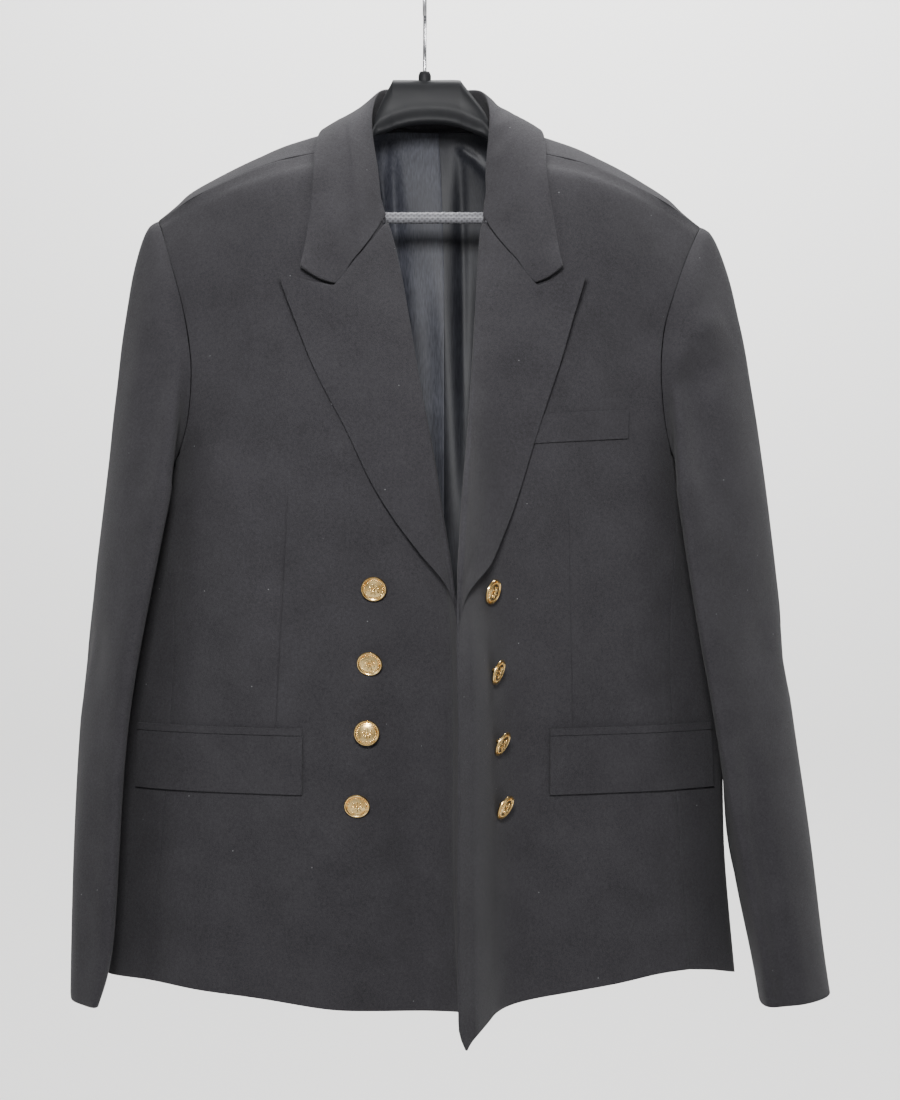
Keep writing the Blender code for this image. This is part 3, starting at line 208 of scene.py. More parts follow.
def wool_nap():
    """Felted wool: mottled colour, a fine nap over a faint twill, and roughness to match."""
    group = bpy.data.node_groups.new("wool nap", "ShaderNodeTree")
    for name, way, kind in (
        ("Dark", "INPUT", "Color"), ("Light", "INPUT", "Color"), ("Lint", "INPUT", "Float"),
        ("Color", "OUTPUT", "Color"), ("Roughness", "OUTPUT", "Float"), ("Height", "OUTPUT", "Float"),
    ):
        group.interface.new_socket(name, in_out=way, socket_type=f"NodeSocket{kind}")
    new, link = group.nodes.new, group.links.new
    given, result = new("NodeGroupInput"), new("NodeGroupOutput")
    place = new("ShaderNodeTexCoord")
    nap = new("ShaderNodeTexNoise")
    nap.inputs["Scale"].default_value = NAP_SCALE
    nap.inputs["Detail"].default_value = 4
    nap.inputs["Roughness"].default_value = 0.65
    felt = new("ShaderNodeTexNoise")
    felt.inputs["Scale"].default_value = FELT_SCALE
    felt.inputs["Detail"].default_value = 2
    felt.inputs["Roughness"].default_value = 0.6
    mottle = new("ShaderNodeTexNoise")
    mottle.inputs["Scale"].default_value = MOTTLE_SCALE
    mottle.inputs["Detail"].default_value = 5
    twill = new("ShaderNodeTexWave")
    twill.bands_direction = "DIAGONAL"
    twill.inputs["Scale"].default_value = TWILL_SCALE
    twill.inputs["Distortion"].default_value = 2.5
    twill.inputs["Detail"].default_value = 2
    fluff = new("ShaderNodeTexVoronoi")
    fluff.inputs["Scale"].default_value = FLUFF_SCALE
    for texture in (nap, felt, mottle, twill, fluff):
        link(place.outputs["Object"], texture.inputs["Vector"])
    fibre = new("ShaderNodeMath")
    fibre.operation = "MULTIPLY_ADD"
    fibre.inputs[1].default_value = 0.22
    link(twill.outputs["Fac"], fibre.inputs[0])
    link(nap.outputs["Fac"], fibre.inputs[2])
    grain = new("ShaderNodeMath")
    grain.operation = "MULTIPLY_ADD"
    grain.inputs[1].default_value = 0.5
    link(felt.outputs["Fac"], grain.inputs[0])
    link(fibre.outputs["Value"], grain.inputs[2])
    share = new("ShaderNodeMath")
    share.operation = "MULTIPLY_ADD"
    share.inputs[1].default_value = 0.40
    link(mottle.outputs["Fac"], share.inputs[0])
    link(grain.outputs["Value"], share.inputs[2])
    spread = new("ShaderNodeMapRange")
    spread.inputs["From Min"].default_value = 0.73
    spread.inputs["From Max"].default_value = 1.39
    link(share.outputs["Value"], spread.inputs["Value"])
    tone = new("ShaderNodeMix")
    tone.data_type = "RGBA"
    link(spread.outputs["Result"], tone.inputs["Factor"])
    link(given.outputs["Dark"], tone.inputs["A"])
    link(given.outputs["Light"], tone.inputs["B"])
    speck = new("ShaderNodeMapRange")
    speck.inputs["From Min"].default_value = 0.030
    speck.inputs["From Max"].default_value = 0.018
    link(fluff.outputs["Distance"], speck.inputs["Value"])
    few = new("ShaderNodeMath")
    few.operation = "MULTIPLY"
    link(speck.outputs["Result"], few.inputs[0])
    link(given.outputs["Lint"], few.inputs[1])
    dusted = new("ShaderNodeMix")
    dusted.data_type = "RGBA"
    dusted.inputs["B"].default_value = (*WOOL_LINT, 1)
    link(few.outputs["Value"], dusted.inputs["Factor"])
    link(tone.outputs["Result"], dusted.inputs["A"])
    link(dusted.outputs["Result"], result.inputs["Color"])
    matt = new("ShaderNodeMapRange")
    matt.inputs["To Min"].default_value = 0.98
    matt.inputs["To Max"].default_value = 0.82
    link(nap.outputs["Fac"], matt.inputs["Value"])
    link(matt.outputs["Result"], result.inputs["Roughness"])
    link(fibre.outputs["Value"], result.inputs["Height"])
    return group


wool_group = wool_nap()


def wool(name, painted_shade=1.0, lint=0.5):
    """The jacket's cloth, its tone raised or lowered a little from piece to piece as painted light and
    shade.
    """
    cloth = bpy.data.materials.new(name)
    cloth.use_nodes = True
    new, link = cloth.node_tree.nodes.new, cloth.node_tree.links.new
    shader = cloth.node_tree.nodes["Principled BSDF"]
    nap = new("ShaderNodeGroup")
    nap.node_tree = wool_group
    nap.inputs["Dark"].default_value = (*[c * painted_shade for c in WOOL_DARK], 1)
    nap.inputs["Light"].default_value = (*[c * painted_shade for c in WOOL_LIGHT], 1)
    nap.inputs["Lint"].default_value = lint
    bump = new("ShaderNodeBump")
    bump.inputs["Distance"].default_value = NAP_DEPTH
    bump.inputs["Strength"].default_value = NAP_STRENGTH
    link(nap.outputs["Height"], bump.inputs["Height"])
    link(nap.outputs["Color"], shader.inputs["Base Color"])
    link(nap.outputs["Roughness"], shader.inputs["Roughness"])
    link(bump.outputs["Normal"], shader.inputs["Normal"])
    shader.inputs["Specular IOR Level"].default_value = WOOL_SPECULAR
    shader.inputs["Sheen Weight"].default_value = WOOL_SHEEN
    shader.inputs["Sheen Roughness"].default_value = WOOL_SHEEN_ROUGHNESS
    return cloth


def pick_only(piece):
    bpy.ops.object.select_all(action="DESELECT")
    piece.select_set(True)
    bpy.context.view_layer.objects.active = piece


def width_of(face):
    return face.calc_area() / max(edge.calc_length() for edge in face.edges)


def finish_modifier(piece, kind, **settings):
    pick_only(piece)
    made = piece.modifiers.new(kind.lower(), kind)
    for name, value in settings.items():
        setattr(made, name, value)
    bpy.ops.object.modifier_apply(modifier=made.name)


def points_of(piece):
    flat = np.empty(len(piece.data.vertices) * 3)
    piece.data.vertices.foreach_get("co", flat)
    return flat.reshape(-1, 3)


def put_points(piece, points):
    piece.data.vertices.foreach_set("co", points.astype(np.float32).ravel())
    piece.data.update()


def rounded_points(piece):
    """Where a subdivision would leave the points of a piece, its own ones first."""
    trial = bpy.data.objects.new("trial", piece.data.copy())
    bpy.context.scene.collection.objects.link(trial)
    finish_modifier(trial, "SUBSURF", levels=2, render_levels=2)
    points = points_of(trial)
    bpy.data.objects.remove(trial)
    return points


def cut_from(node_name, name, levels, passes=ROUNDING_PASSES):
    """A smooth copy of a solid: triangles joined again, cut edges kept, the rest rounded.

    Each pass moves the points out by what the rounding took off, so that the size is kept.
    """
    piece = bpy.data.objects.new(name, nodes[node_name].data.copy())
    piece.data.name = name
    bpy.context.scene.collection.objects.link(piece)
    pick_only(piece)
    bpy.ops.object.mode_set(mode="EDIT")
    bpy.ops.mesh.select_all(action="SELECT")
    bpy.ops.mesh.remove_doubles(threshold=SAME_POINT)
    bpy.ops.mesh.customdata_custom_splitnormals_clear()
    bpy.ops.mesh.tris_convert_to_quads(face_threshold=FLAT_ANGLE, shape_threshold=SQUARE_ANGLE)
    bpy.ops.mesh.select_mode(type="EDGE")
    bpy.ops.mesh.select_all(action="DESELECT")
    shape = bmesh.from_edit_mesh(piece.data)
    for edge in shape.edges:
        sides = [width_of(face) < NARROW_FACE for face in edge.link_faces]
        corner = edge.calc_length() < NARROW_FACE
        edge.select = (sides.count(True) == 1 or corner) and edge.calc_face_angle(0) > CUT_ANGLE
    bmesh.update_edit_mesh(piece.data)
    bpy.ops.transform.edge_crease(value=CUT_EDGE)
    bpy.ops.object.mode_set(mode="OBJECT")
    solid = points_of(piece)
    wanted = solid.copy()
    for _ in range(passes):
        drawn_in = rounded_points(piece)[: len(solid)]
        wanted += solid - drawn_in
        put_points(piece, wanted)
    finish_modifier(piece, "SUBSURF", levels=levels, render_levels=levels)
    finish_modifier(piece, "BEVEL", width=TURNED_EDGE, segments=2, limit_method="ANGLE",
                    angle_limit=TURN_ANGLE, use_clamp_overlap=True)
    bpy.ops.object.shade_smooth()
    return piece


def fold_line(piece, toward, rows):
    """A fold's line laid on the cloth. Each row: place across, height, half width, rise."""
    laid = []
    for across, up, half_width, rise in rows:
        if toward.x == 0:
            start = Vector((across + HANG_SHIFT, -toward.y, up))
        else:
            start = Vector((-toward.x, across, up))
        met, spot, normal, _ = piece.ray_cast(start, toward)
        if met:
            laid.append((*spot, *normal, half_width, rise))
    return np.array(laid)


def moved_by(points, folds):
    """How far folds and the hang of the cloth move points."""
    moves = np.zeros_like(points)
    for height, across, down, start in HANG_WAVES:
        turn = 2 * math.pi * (points[:, 0] / across + points[:, 2] / down) + start
        moves[:, 1] += height * np.sin(turn)
    for fold in folds:
        nearest = np.full(len(points), 1e9)
        push = np.zeros_like(points)
        for low, high in zip(fold[:-1], fold[1:]):
            run = high[:3] - low[:3]
            share = np.clip((points - low[:3]) @ run / max(run @ run, 1e-12), 0, 1)
            row = low + share[:, None] * (high - low)
            away = np.linalg.norm(points - row[:, :3], axis=1) / row[:, 6]
            closer = away < nearest
            nearest[closer] = away[closer]
            lift = (row[:, 7] * np.exp(-(away**2)))[:, None] * row[:, 3:6]
            push[closer] = lift[closer]
        moves += push
    return moves


def hang(piece, folds):
    """Lays folds and the hang of the cloth on a piece."""
    points = points_of(piece)
    put_points(piece, points + moved_by(points, folds))


def sewn_dart(piece, low_end, high_end):
    """A dart's seam: cuts along a straight line on the outside, the middle one drawn in."""
    low_end, high_end = [Vector((x + HANG_SHIFT, y, z)) for x, y, z in (low_end, high_end)]
    run = high_end - low_end
    across = Vector((run.z, 0, -run.x)).normalized()
    pick_only(piece)
    bpy.ops.object.mode_set(mode="EDIT")
    for aside in (-DART_HALF, DART_HALF, 0):
        bpy.ops.mesh.select_mode(type="FACE")
        bpy.ops.mesh.select_all(action="DESELECT")
        shape = bmesh.from_edit_mesh(piece.data)
        for face in shape.faces:
            middle = face.calc_center_median() - low_end
            within = 0 < middle.dot(run) < run.length_squared and abs(middle.dot(across)) < DART_BESIDE
            face.select = within and face.normal.y < FACES_FRONT
        bmesh.update_edit_mesh(piece.data)
        bpy.ops.mesh.bisect(plane_co=low_end + across * aside, plane_no=across)
    bpy.ops.object.mode_set(mode="OBJECT")
    points = points_of(piece)
    reach = points - np.array(low_end)
    share = reach @ np.array(run) / run.length_squared
    facing = np.array([corner.normal.y for corner in piece.data.vertices])
    on_line = np.abs(reach @ np.array(across)) < DART_LINE
    middle = on_line & (share > DART_END) & (share < 1 - DART_END) & (facing < FACES_FRONT)
    points[middle, 1] += DART_DEPTH
    put_points(piece, points)


def sew_to(piece, others, reach, pull):
    """Draws a piece in to the pieces it is sewn to, so that only the seam's own line shows."""
    joined = bmesh.new()
    for other in others:
        joined.from_mesh(other.data)
    seam = BVHTree.FromBMesh(joined)
    joined.free()
    points = points_of(piece)
    for place, point in enumerate(points):
        spot, _, _, away = seam.find_nearest(Vector(point), reach)
        if spot is not None:
            points[place] += (np.array(spot) - point) * pull * (1 - away / reach)
    put_points(piece, points)


def rounded_tip(panel):
    """Rounds the hem's corner at the front edge of the left half."""
    points = points_of(panel)
    down = np.clip((TIP_TOP - points[:, 2]) / TIP_LENGTH, 0, 1)
    beside = np.clip(1 - (points[:, 0] - TIP_EDGE) / TIP_WIDTH, 0, 1)
    points[:, 0] += TIP_TURN * down**2 * beside
    put_points(panel, points)


body = {}
for panel in ("front", "side", "back"):
    for half in ("right", "left"):
        body[f"{panel}_{half}"] = cut_from(f"{panel}_{half}", f"wool_{panel}_{half}", BODY_LEVELS)

# Folds of the body. Each row: place across, height, half width, rise
body_folds = [
    # front edge of the right half, below the break
    fold_line(body["front_right"], FROM_FRONT, (
        (-0.020, -0.560, 0.020, 0.0), (-0.018, -0.640, 0.024, -0.0030),
        (-0.012, -0.760, 0.026, -0.0045), (-0.015, -0.868, 0.028, -0.0053))),
    # soft drags from the shoulder points to the chest
    fold_line(body["front_right"], FROM_FRONT, (
        (-0.200, -0.250, 0.018, 0.0), (-0.188, -0.310, 0.022, -0.0039),
        (-0.172, -0.380, 0.026, -0.0030), (-0.160, -0.450, 0.028, 0.0))),
    fold_line(body["front_left"], FROM_FRONT, (
        (0.188, -0.245, 0.018, 0.0), (0.180, -0.310, 0.022, -0.0036),
        (0.168, -0.370, 0.026, -0.0033), (0.156, -0.440, 0.028, 0.0))),
    # long folds of the skirt
    fold_line(body["front_right"], FROM_FRONT, (
        (-0.086, -0.600, 0.030, 0.0), (-0.090, -0.700, 0.034, 0.0027),
        (-0.096, -0.800, 0.036, 0.0045), (-0.100, -0.872, 0.038, 0.0051))),
    fold_line(body["front_right"], FROM_FRONT, (
        (-0.176, -0.700, 0.026, 0.0), (-0.180, -0.780, 0.030, 0.0033),
        (-0.184, -0.864, 0.034, 0.0054))),
    fold_line(body["front_left"], FROM_FRONT, (
        (0.084, -0.560, 0.028, 0.0), (0.086, -0.660, 0.030, -0.0021),
        (0.092, -0.780, 0.032, -0.0039), (0.096, -0.866, 0.034, -0.0048))),
    fold_line(body["front_left"], FROM_FRONT, (
        (0.150, -0.720, 0.026, 0.0), (0.154, -0.800, 0.030, 0.0039),
        (0.158, -0.856, 0.034, 0.0054))),
    # the back, across the blades and in at the waist
    fold_line(body["back_right"], FROM_BACK, (
        (-0.185, -0.270, 0.020, 0.0), (-0.165, -0.350, 0.026, -0.0051),
        (-0.150, -0.450, 0.030, -0.0039), (-0.142, -0.560, 0.030, 0.0))),
    fold_line(body["back_left"], FROM_BACK, (
        (0.178, -0.270, 0.020, 0.0), (0.160, -0.340, 0.026, -0.0045),
        (0.148, -0.430, 0.030, -0.0048), (0.136, -0.540, 0.030, 0.0))),
    fold_line(body["back_right"], FROM_BACK, (
        (-0.070, -0.560, 0.034, 0.0), (-0.076, -0.680, 0.040, 0.0045),
        (-0.084, -0.790, 0.042, 0.0069), (-0.088, -0.858, 0.044, 0.0075))),
    fold_line(body["back_left"], FROM_BACK, (
        (0.060, -0.600, 0.034, 0.0), (0.066, -0.720, 0.038, 0.0051),
        (0.076, -0.858, 0.042, 0.0072))),
    fold_line(body["back_right"], FROM_BACK, (
        (-0.150, -0.520, 0.022, 0.0), (-0.100, -0.545, 0.020, -0.0033),
        (-0.040, -0.550, 0.020, 0.0))),
    fold_line(body["back_left"], FROM_BACK, (
        (0.150, -0.515, 0.022, 0.0), (0.096, -0.538, 0.020, -0.0030),
        (0.034, -0.540, 0.020, 0.0))),
]

# Each panel's cut: width and length of the cloth, and its area once shaped, seams left out
BODY_CUTS = {
    "front_right": ((0.300, 0.760), 0.177),
    "front_left": ((0.300, 0.760), 0.160),
    "side_right": ((0.125, 0.460), 0.052),
    "side_left": ((0.125, 0.460), 0.052),
    "back_right": ((0.270, 0.800), 0.168),
    "back_left": ((0.260, 0.800), 0.161),
}

# The darts over the hips: low end and high end
DARTS = {
    "front_right": ((-0.1285, 0, -0.6440), (-0.1185, 0, -0.4500)),
    "front_left": ((0.1190, 0, -0.6440), (0.1150, 0, -0.4620)),
}
for name, panel in body.items():
    hang(panel, body_folds)
    if name in DARTS:
        sewn_dart(panel, *DARTS[name])
    if name == "front_left":
        rounded_tip(panel)
    if name == "back_left":
        sew_to(panel, [body["back_right"]], BACK_REACH, BACK_PULL)
    panel.data.materials.clear()
    panel.data.materials.append(wool(f"wool {name}"))
    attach(panel, "root")
    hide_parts(name)
    flat, area = BODY_CUTS[name]

# Sleeves: one tube of the same wool each, set into the armhole with a little ease at the
# head, pressed flat along a front crease and left open at the cuff.
SLEEVE_LEVELS = 3
SLEEVE_CUTS = {"right": ((0.420, 0.670), 0.192), "left": ((0.420, 0.680), 0.206)}
sleeves = {}
for half in ("right", "left"):
    sleeves[half] = cut_from(f"sleeve_{half}", f"wool_sleeve_{half}", SLEEVE_LEVELS)
sleeve_folds = {
    "right": [
        # drawn in beside the armhole
        fold_line(sleeves["right"], FROM_FRONT, (
            (-0.236, -0.300, 0.012, 0.0), (-0.232, -0.350, 0.016, -0.0064),
            (-0.236, -0.410, 0.018, -0.0048), (-0.246, -0.480, 0.020, 0.0))),
        # bend of the elbow
        fold_line(sleeves["right"], FROM_FRONT, (
            (-0.300, -0.520, 0.020, 0.0), (-0.286, -0.580, 0.022, -0.0048),
            (-0.282, -0.640, 0.024, 0.0))),
        # front crease down to the cuff
        fold_line(sleeves["right"], FROM_FRONT, (
            (-0.292, -0.660, 0.020, 0.0), (-0.296, -0.760, 0.022, 0.0042),
            (-0.298, -0.866, 0.022, 0.0048))),
        # behind the upper arm and round the elbow
        fold_line(sleeves["right"], FROM_BACK, (
            (-0.270, -0.440, 0.022, 0.0), (-0.284, -0.520, 0.024, -0.0064),
            (-0.292, -0.600, 0.026, 0.0))),
        fold_line(sleeves["right"], FROM_RIGHT, (
            (-0.020, -0.560, 0.022, 0.0), (0.010, -0.600, 0.022, -0.0048),
            (0.046, -0.620, 0.020, 0.0))),
    ],
    "left": [
        # drawn in beside the armhole
        fold_line(sleeves["left"], FROM_FRONT, (
            (0.228, -0.300, 0.012, 0.0), (0.224, -0.350, 0.016, -0.0067),
            (0.230, -0.420, 0.018, -0.0048), (0.240, -0.480, 0.020, 0.0))),
        # ridge from the armhole up to the sleeve's head, and the hollow below it
        fold_line(sleeves["left"], FROM_FRONT, (
            (0.212, -0.334, 0.009, 0.0030), (0.229, -0.312, 0.012, 0.0046),
            (0.250, -0.292, 0.014, 0.0))),
        fold_line(sleeves["left"], FROM_FRONT, (
            (0.214, -0.356, 0.010, -0.0022), (0.234, -0.344, 0.012, -0.0038),
            (0.262, -0.328, 0.014, 0.0))),
        # crease down to the cuff
        fold_line(sleeves["left"], FROM_FRONT, (
            (0.262, -0.640, 0.010, 0.0), (0.276, -0.735, 0.012, -0.0074),
            (0.290, -0.812, 0.012, -0.0093), (0.299, -0.868, 0.013, -0.0096))),
        # bend of the elbow
        fold_line(sleeves["left"], FROM_FRONT, (
            (0.296, -0.500, 0.020, 0.0), (0.284, -0.560, 0.022, -0.0045),
            (0.276, -0.620, 0.022, 0.0))),
        # behind the upper arm and round the elbow
        fold_line(sleeves["left"], FROM_BACK, (
            (0.262, -0.430, 0.022, 0.0), (0.278, -0.520, 0.024, -0.0064),
            (0.290, -0.610, 0.026, 0.0))),
        fold_line(sleeves["left"], FROM_LEFT, (
            (-0.020, -0.560, 0.022, 0.0), (0.010, -0.590, 0.022, -0.0048),
            (0.046, -0.615, 0.020, 0.0))),
    ],
}

# Armhole seam: how near a point is drawn in from, and how much of the way
ARMHOLE_REACH = 0.009
ARMHOLE_PULL = 0.85
for half, sleeve in sleeves.items():
    hang(sleeve, sleeve_folds[half])
    armhole = [body[f"{panel}_{half}"] for panel in ("front", "side", "back")]
    sew_to(sleeve, armhole, ARMHOLE_REACH, ARMHOLE_PULL)
    sleeve.data.materials.clear()
    # Painted shade: the sleeves' wool is made a little darker than the body's
    sleeve.data.materials.append(wool(f"wool sleeve {half}", painted_shade=0.97))
    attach(sleeve, "root")
    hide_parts(f"sleeve_{half}")
    flat, area = SLEEVE_CUTS[half]

# Collar and peak lapels: two layers of wool pressed over canvas, so they lie stiff and
# smooth. The collar turns over its stand, and each lapel turns over at the roll line.
LEAF_LEVELS = 3
LEAF_CUTS = {
    "collar": ((0.480, 0.110), 0.0364),
    "lapel_right": ((0.130, 0.330), 0.0202),
    "lapel_left": ((0.130, 0.330), 0.0217),
}

# A lapel's lower end: length of the taper, how far up and down its root is looked for, and
# how much of its width is left at the tip
TAPER_LENGTH = 0.050
TAPER_BESIDE = 0.004
TAPER_LEAST = 0.12

# Gorge seam, between lapel and collar
GORGE_REACH = 0.0060
GORGE_PULL = 0.93


def taper_tip(leaf, edge_of):
    """Draws a lapel's lower end in to the front's edge, which it grows out of."""
    points = points_of(leaf)
    edge = points_of(edge_of)
    tip = points[:, 2].min()
    for place in np.flatnonzero(points[:, 2] < tip + TAPER_LENGTH):
        near = edge[np.abs(edge[:, 2] - points[place, 2]) < TAPER_BESIDE]
        root = near[near[:, 1].argmin()]
        share = (points[place, 2] - tip) / TAPER_LENGTH
        keep = TAPER_LEAST + (1 - TAPER_LEAST) * share * share * (3 - 2 * share)
        points[place, :2] = root[:2] + (points[place, :2] - root[:2]) * keep
    put_points(leaf, points)


leaves = {}
for name, (flat, area) in LEAF_CUTS.items():
    leaf = cut_from(name, f"wool_{name}", LEAF_LEVELS)
    hang(leaf, body_folds)
    if name != "collar":
        taper_tip(leaf, body[name.replace("lapel", "front")])
        sew_to(leaf, [leaves["collar"]], GORGE_REACH, GORGE_PULL)
    leaf.data.materials.clear()
    # Painted shade: the collar's and lapels' wool is made a little darker than the body's
    leaf.data.materials.append(wool(f"wool {name}", painted_shade=0.99))
    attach(leaf, "root")
    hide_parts(name)
    leaves[name] = leaf

# Pockets: a flap and a narrow jet above it on each hip, and a slanted welt on the left
# breast, all of the same wool, turned and pressed with clean edges.
POCKET_LEVELS = 3
POCKET_CUTS = {
    "flap_right": ((0.164, 0.0490), 0.0080),
    "flap_left": ((0.164, 0.0490), 0.0080),
    "jet_right": ((0.162, 0.0110), 0.0011),
    "jet_left": ((0.162, 0.0110), 0.0011),
    "welt_left": ((0.092, 0.0252), 0.0023),
}
for name, (flat, area) in POCKET_CUTS.items():
    pocket = cut_from(name, f"wool_{name}", POCKET_LEVELS)
    hang(pocket, body_folds)
    pocket.data.materials.clear()
    pocket.data.materials.append(wool(f"wool {name}", lint=0.3))
    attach(pocket, "root")
    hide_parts(name)

# Back lining: dark blue-grey satin in two halves, whose seam runs a little to the wearer's
# left of the middle. It is eased in, so it swells there and its folds catch the light.
LINING_LEVELS = 4
SATIN_DARK = (0.034, 0.036, 0.050)
SATIN_LIGHT = (0.115, 0.120, 0.148)
# Painted shade: each half's satin colour is darkened, the left half most because it is turned from the
# light, and both for the shade deep inside the jacket
SATIN_PAINTED_SHADE = {"right": 0.60, "left": 0.22}
SATIN_SPECULAR = 0.30
SATIN_SHEEN = 0.08
SLUB_SCALE = 900
SLUB_STRETCH = 0.12
SLUB_DEPTH = 0.00006
WAVER_SCALE = 18

# Its wall, the room that it leaves before the back, and how far forward the back is looked for
LINING_WALL = 0.0010
LINING_ROOM = 0.0006
LINING_LOOK = 0.040

# The seam between its halves: depths below the hook, and how far it runs to the wearer's left
LINING_SEAM = ((0.130, 0.160, 0.240, 0.600), (0.0075, 0.0090, 0.0110, 0.0110))
LINING_EASE = 0.040
LINING_LAP = 0.0008


def satin(name, painted_shade):
    """Satin with fine upright slubs, its colour darkened as painted shade, most on the half that is
    turned from the light.
    """
    cloth = bpy.data.materials.new(name)
    cloth.use_nodes = True
    new, link = cloth.node_tree.nodes.new, cloth.node_tree.links.new
    shader = cloth.node_tree.nodes["Principled BSDF"]
    place = new("ShaderNodeTexCoord")
    stretch = new("ShaderNodeMapping")
    stretch.inputs["Scale"].default_value = (1.0, 1.0, SLUB_STRETCH)
    link(place.outputs["Object"], stretch.inputs["Vector"])
    slub = new("ShaderNodeTexNoise")
    slub.inputs["Scale"].default_value = SLUB_SCALE
    slub.inputs["Detail"].default_value = 3
    link(stretch.outputs["Vector"], slub.inputs["Vector"])
    waver = new("ShaderNodeTexNoise")
    waver.inputs["Scale"].default_value = WAVER_SCALE
    link(place.outputs["Object"], waver.inputs["Vector"])
    blend = new("ShaderNodeMath")
    blend.operation = "MULTIPLY"
    link(slub.outputs["Fac"], blend.inputs[0])
    link(waver.outputs["Fac"], blend.inputs[1])
    tone = new("ShaderNodeValToRGB")
    tone.color_ramp.elements[0].position = 0.12
    tone.color_ramp.elements[0].color = (*[c * painted_shade for c in SATIN_DARK], 1)
    tone.color_ramp.elements[1].position = 0.42
    tone.color_ramp.elements[1].color = (*[c * painted_shade for c in SATIN_LIGHT], 1)
    link(blend.outputs["Value"], tone.inputs["Fac"])
    link(tone.outputs["Color"], shader.inputs["Base Color"])
    polish = new("ShaderNodeMapRange")
    polish.inputs["To Min"].default_value = 0.42
    polish.inputs["To Max"].default_value = 0.56
    link(slub.outputs["Fac"], polish.inputs["Value"])
    link(polish.outputs["Result"], shader.inputs["Roughness"])
    bump = new("ShaderNodeBump")
    bump.inputs["Distance"].default_value = SLUB_DEPTH
    link(slub.outputs["Fac"], bump.inputs["Height"])
    link(bump.outputs["Normal"], shader.inputs["Normal"])
    shader.inputs["Specular IOR Level"].default_value = SATIN_SPECULAR
    shader.inputs["Sheen Weight"].default_value = SATIN_SHEEN
    return cloth


def keep_before(piece, others, room):
    """Moves a piece forward wherever it would come too near to the ones behind it."""
    joined = bmesh.new()
    for other in others:
        joined.from_mesh(other.data)
    behind = BVHTree.FromBMesh(joined)
    joined.free()
    points = points_of(piece)
    facing = np.array([corner.normal.y for corner in piece.data.vertices])
    for place, point in enumerate(points):
        start = Vector(point) - Vector((0, LINING_LOOK, 0))
        spot, _, _, away = behind.ray_cast(start, FROM_FRONT, 2 * LINING_LOOK)
        needed = room if facing[place] > 0 else room + LINING_WALL
        if spot is not None and away - LINING_LOOK < needed:
            points[place, 1] -= needed + LINING_LOOK - away
    put_points(piece, points)


linings = {}
for half in ("right", "left"):
    linings[half] = cut_from(f"lining_{half}", f"satin_lining_{half}", LINING_LEVELS, passes=0)
lining_folds = [
    # broad swell down the centre back
    fold_line(linings["left"], FROM_FRONT, (
        (0.002, -0.130, 0.034, 0.0060), (0.004, -0.200, 0.034, 0.0075),
        (0.006, -0.360, 0.036, 0.0060), (0.008, -0.560, 0.040, 0.0020))),
    # folds of the left half, one long and one slanting out below the neck
    fold_line(linings["left"], FROM_FRONT, (
        (0.0215, -0.134, 0.0060, -0.0010), (0.0225, -0.190, 0.0070, -0.0026),
        (0.0230, -0.320, 0.0070, -0.0026), (0.0240, -0.480, 0.0070, 0.0))),
    fold_line(linings["left"], FROM_FRONT, (
        (0.0170, -0.134, 0.0036, 0.0), (0.0260, -0.139, 0.0042, 0.0026),
        (0.0400, -0.147, 0.0046, 0.0032), (0.0520, -0.160, 0.0050, 0.0020))),
    # folds beside the right lapel
    fold_line(linings["right"], FROM_FRONT, (
        (-0.0340, -0.134, 0.0036, -0.0014), (-0.0345, -0.160, 0.0044, -0.0034),
        (-0.0330, -0.220, 0.0050, -0.0034), (-0.0300, -0.330, 0.0060, 0.0))),
    fold_line(linings["right"], FROM_FRONT, (
        (-0.0440, -0.135, 0.0034, 0.0016), (-0.0430, -0.180, 0.0040, 0.0026),
        (-0.0400, -0.240, 0.0048, 0.0))),
    fold_line(linings["right"], FROM_FRONT, (
        (-0.0130, -0.230, 0.0070, 0.0), (-0.0110, -0.300, 0.0080, -0.0020),
        (-0.0080, -0.420, 0.0090, -0.0024), (-0.0060, -0.540, 0.0100, 0.0))),
]
for half, lining in linings.items():
    hang(lining, lining_folds)
    points = points_of(lining)
    beside = np.clip(1 - np.abs(points[:, 0] - HANG_SHIFT) / LINING_EASE, 0, 1)
    aside = np.interp(-points[:, 2], *LINING_SEAM)
    points[:, 0] += (aside + (LINING_LAP if half == "right" else 0)) * beside
    put_points(lining, points)
    keep_before(lining, [body["back_right"], body["back_left"]], LINING_ROOM)
    lining.data.materials.clear()
    lining.data.materials.append(satin(f"satin lining {half}", SATIN_PAINTED_SHADE[half]))
    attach(lining, "root")
    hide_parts(f"lining_{half}")

# Buttons: eight domed gilt shank buttons in two rows, stamped from brass with a raised rim,
# a rope ring and a plain rosette, and sewn on through the shank. One is made and copied.
BUTTON_PROFILE = (
    (0.0000, -0.0006), (0.0015, -0.0006), (0.0016, 0.0000), (0.0016, 0.0031), (0.0070, 0.0033),
    (0.0086, 0.0036), (0.0102, 0.0041), (0.01075, 0.0048), (0.0106, 0.0056), (0.0101, 0.0061),
    (0.0095, 0.0061), (0.0090, 0.0057), (0.0086, 0.0055), (0.0070, 0.0061), (0.0050, 0.0066),
    (0.0025, 0.0069), (0.0000, 0.0070),
)
BUTTON_STEPS = 72
BUTTON_MERGE = 0.00001
BUTTON_CREASE = math.radians(35)
ROPE_RADIUS = 0.0077
ROPE_HEIGHT = 0.0059
ROPE_STRANDS = 30
ROPE_SLANT = math.radians(38)
ROPE_SIZE = (0.00095, 0.00046, 0.00050)
ROSETTE_PETALS = 8
PETAL_REACH = 0.0031
PETAL_HEIGHT = 0.0068
PETAL_SIZE = (0.0021, 0.00085, 0.00055)
BOSS_HEIGHT = 0.0070
BOSS_SIZE = (0.0012, 0.0012, 0.0007)
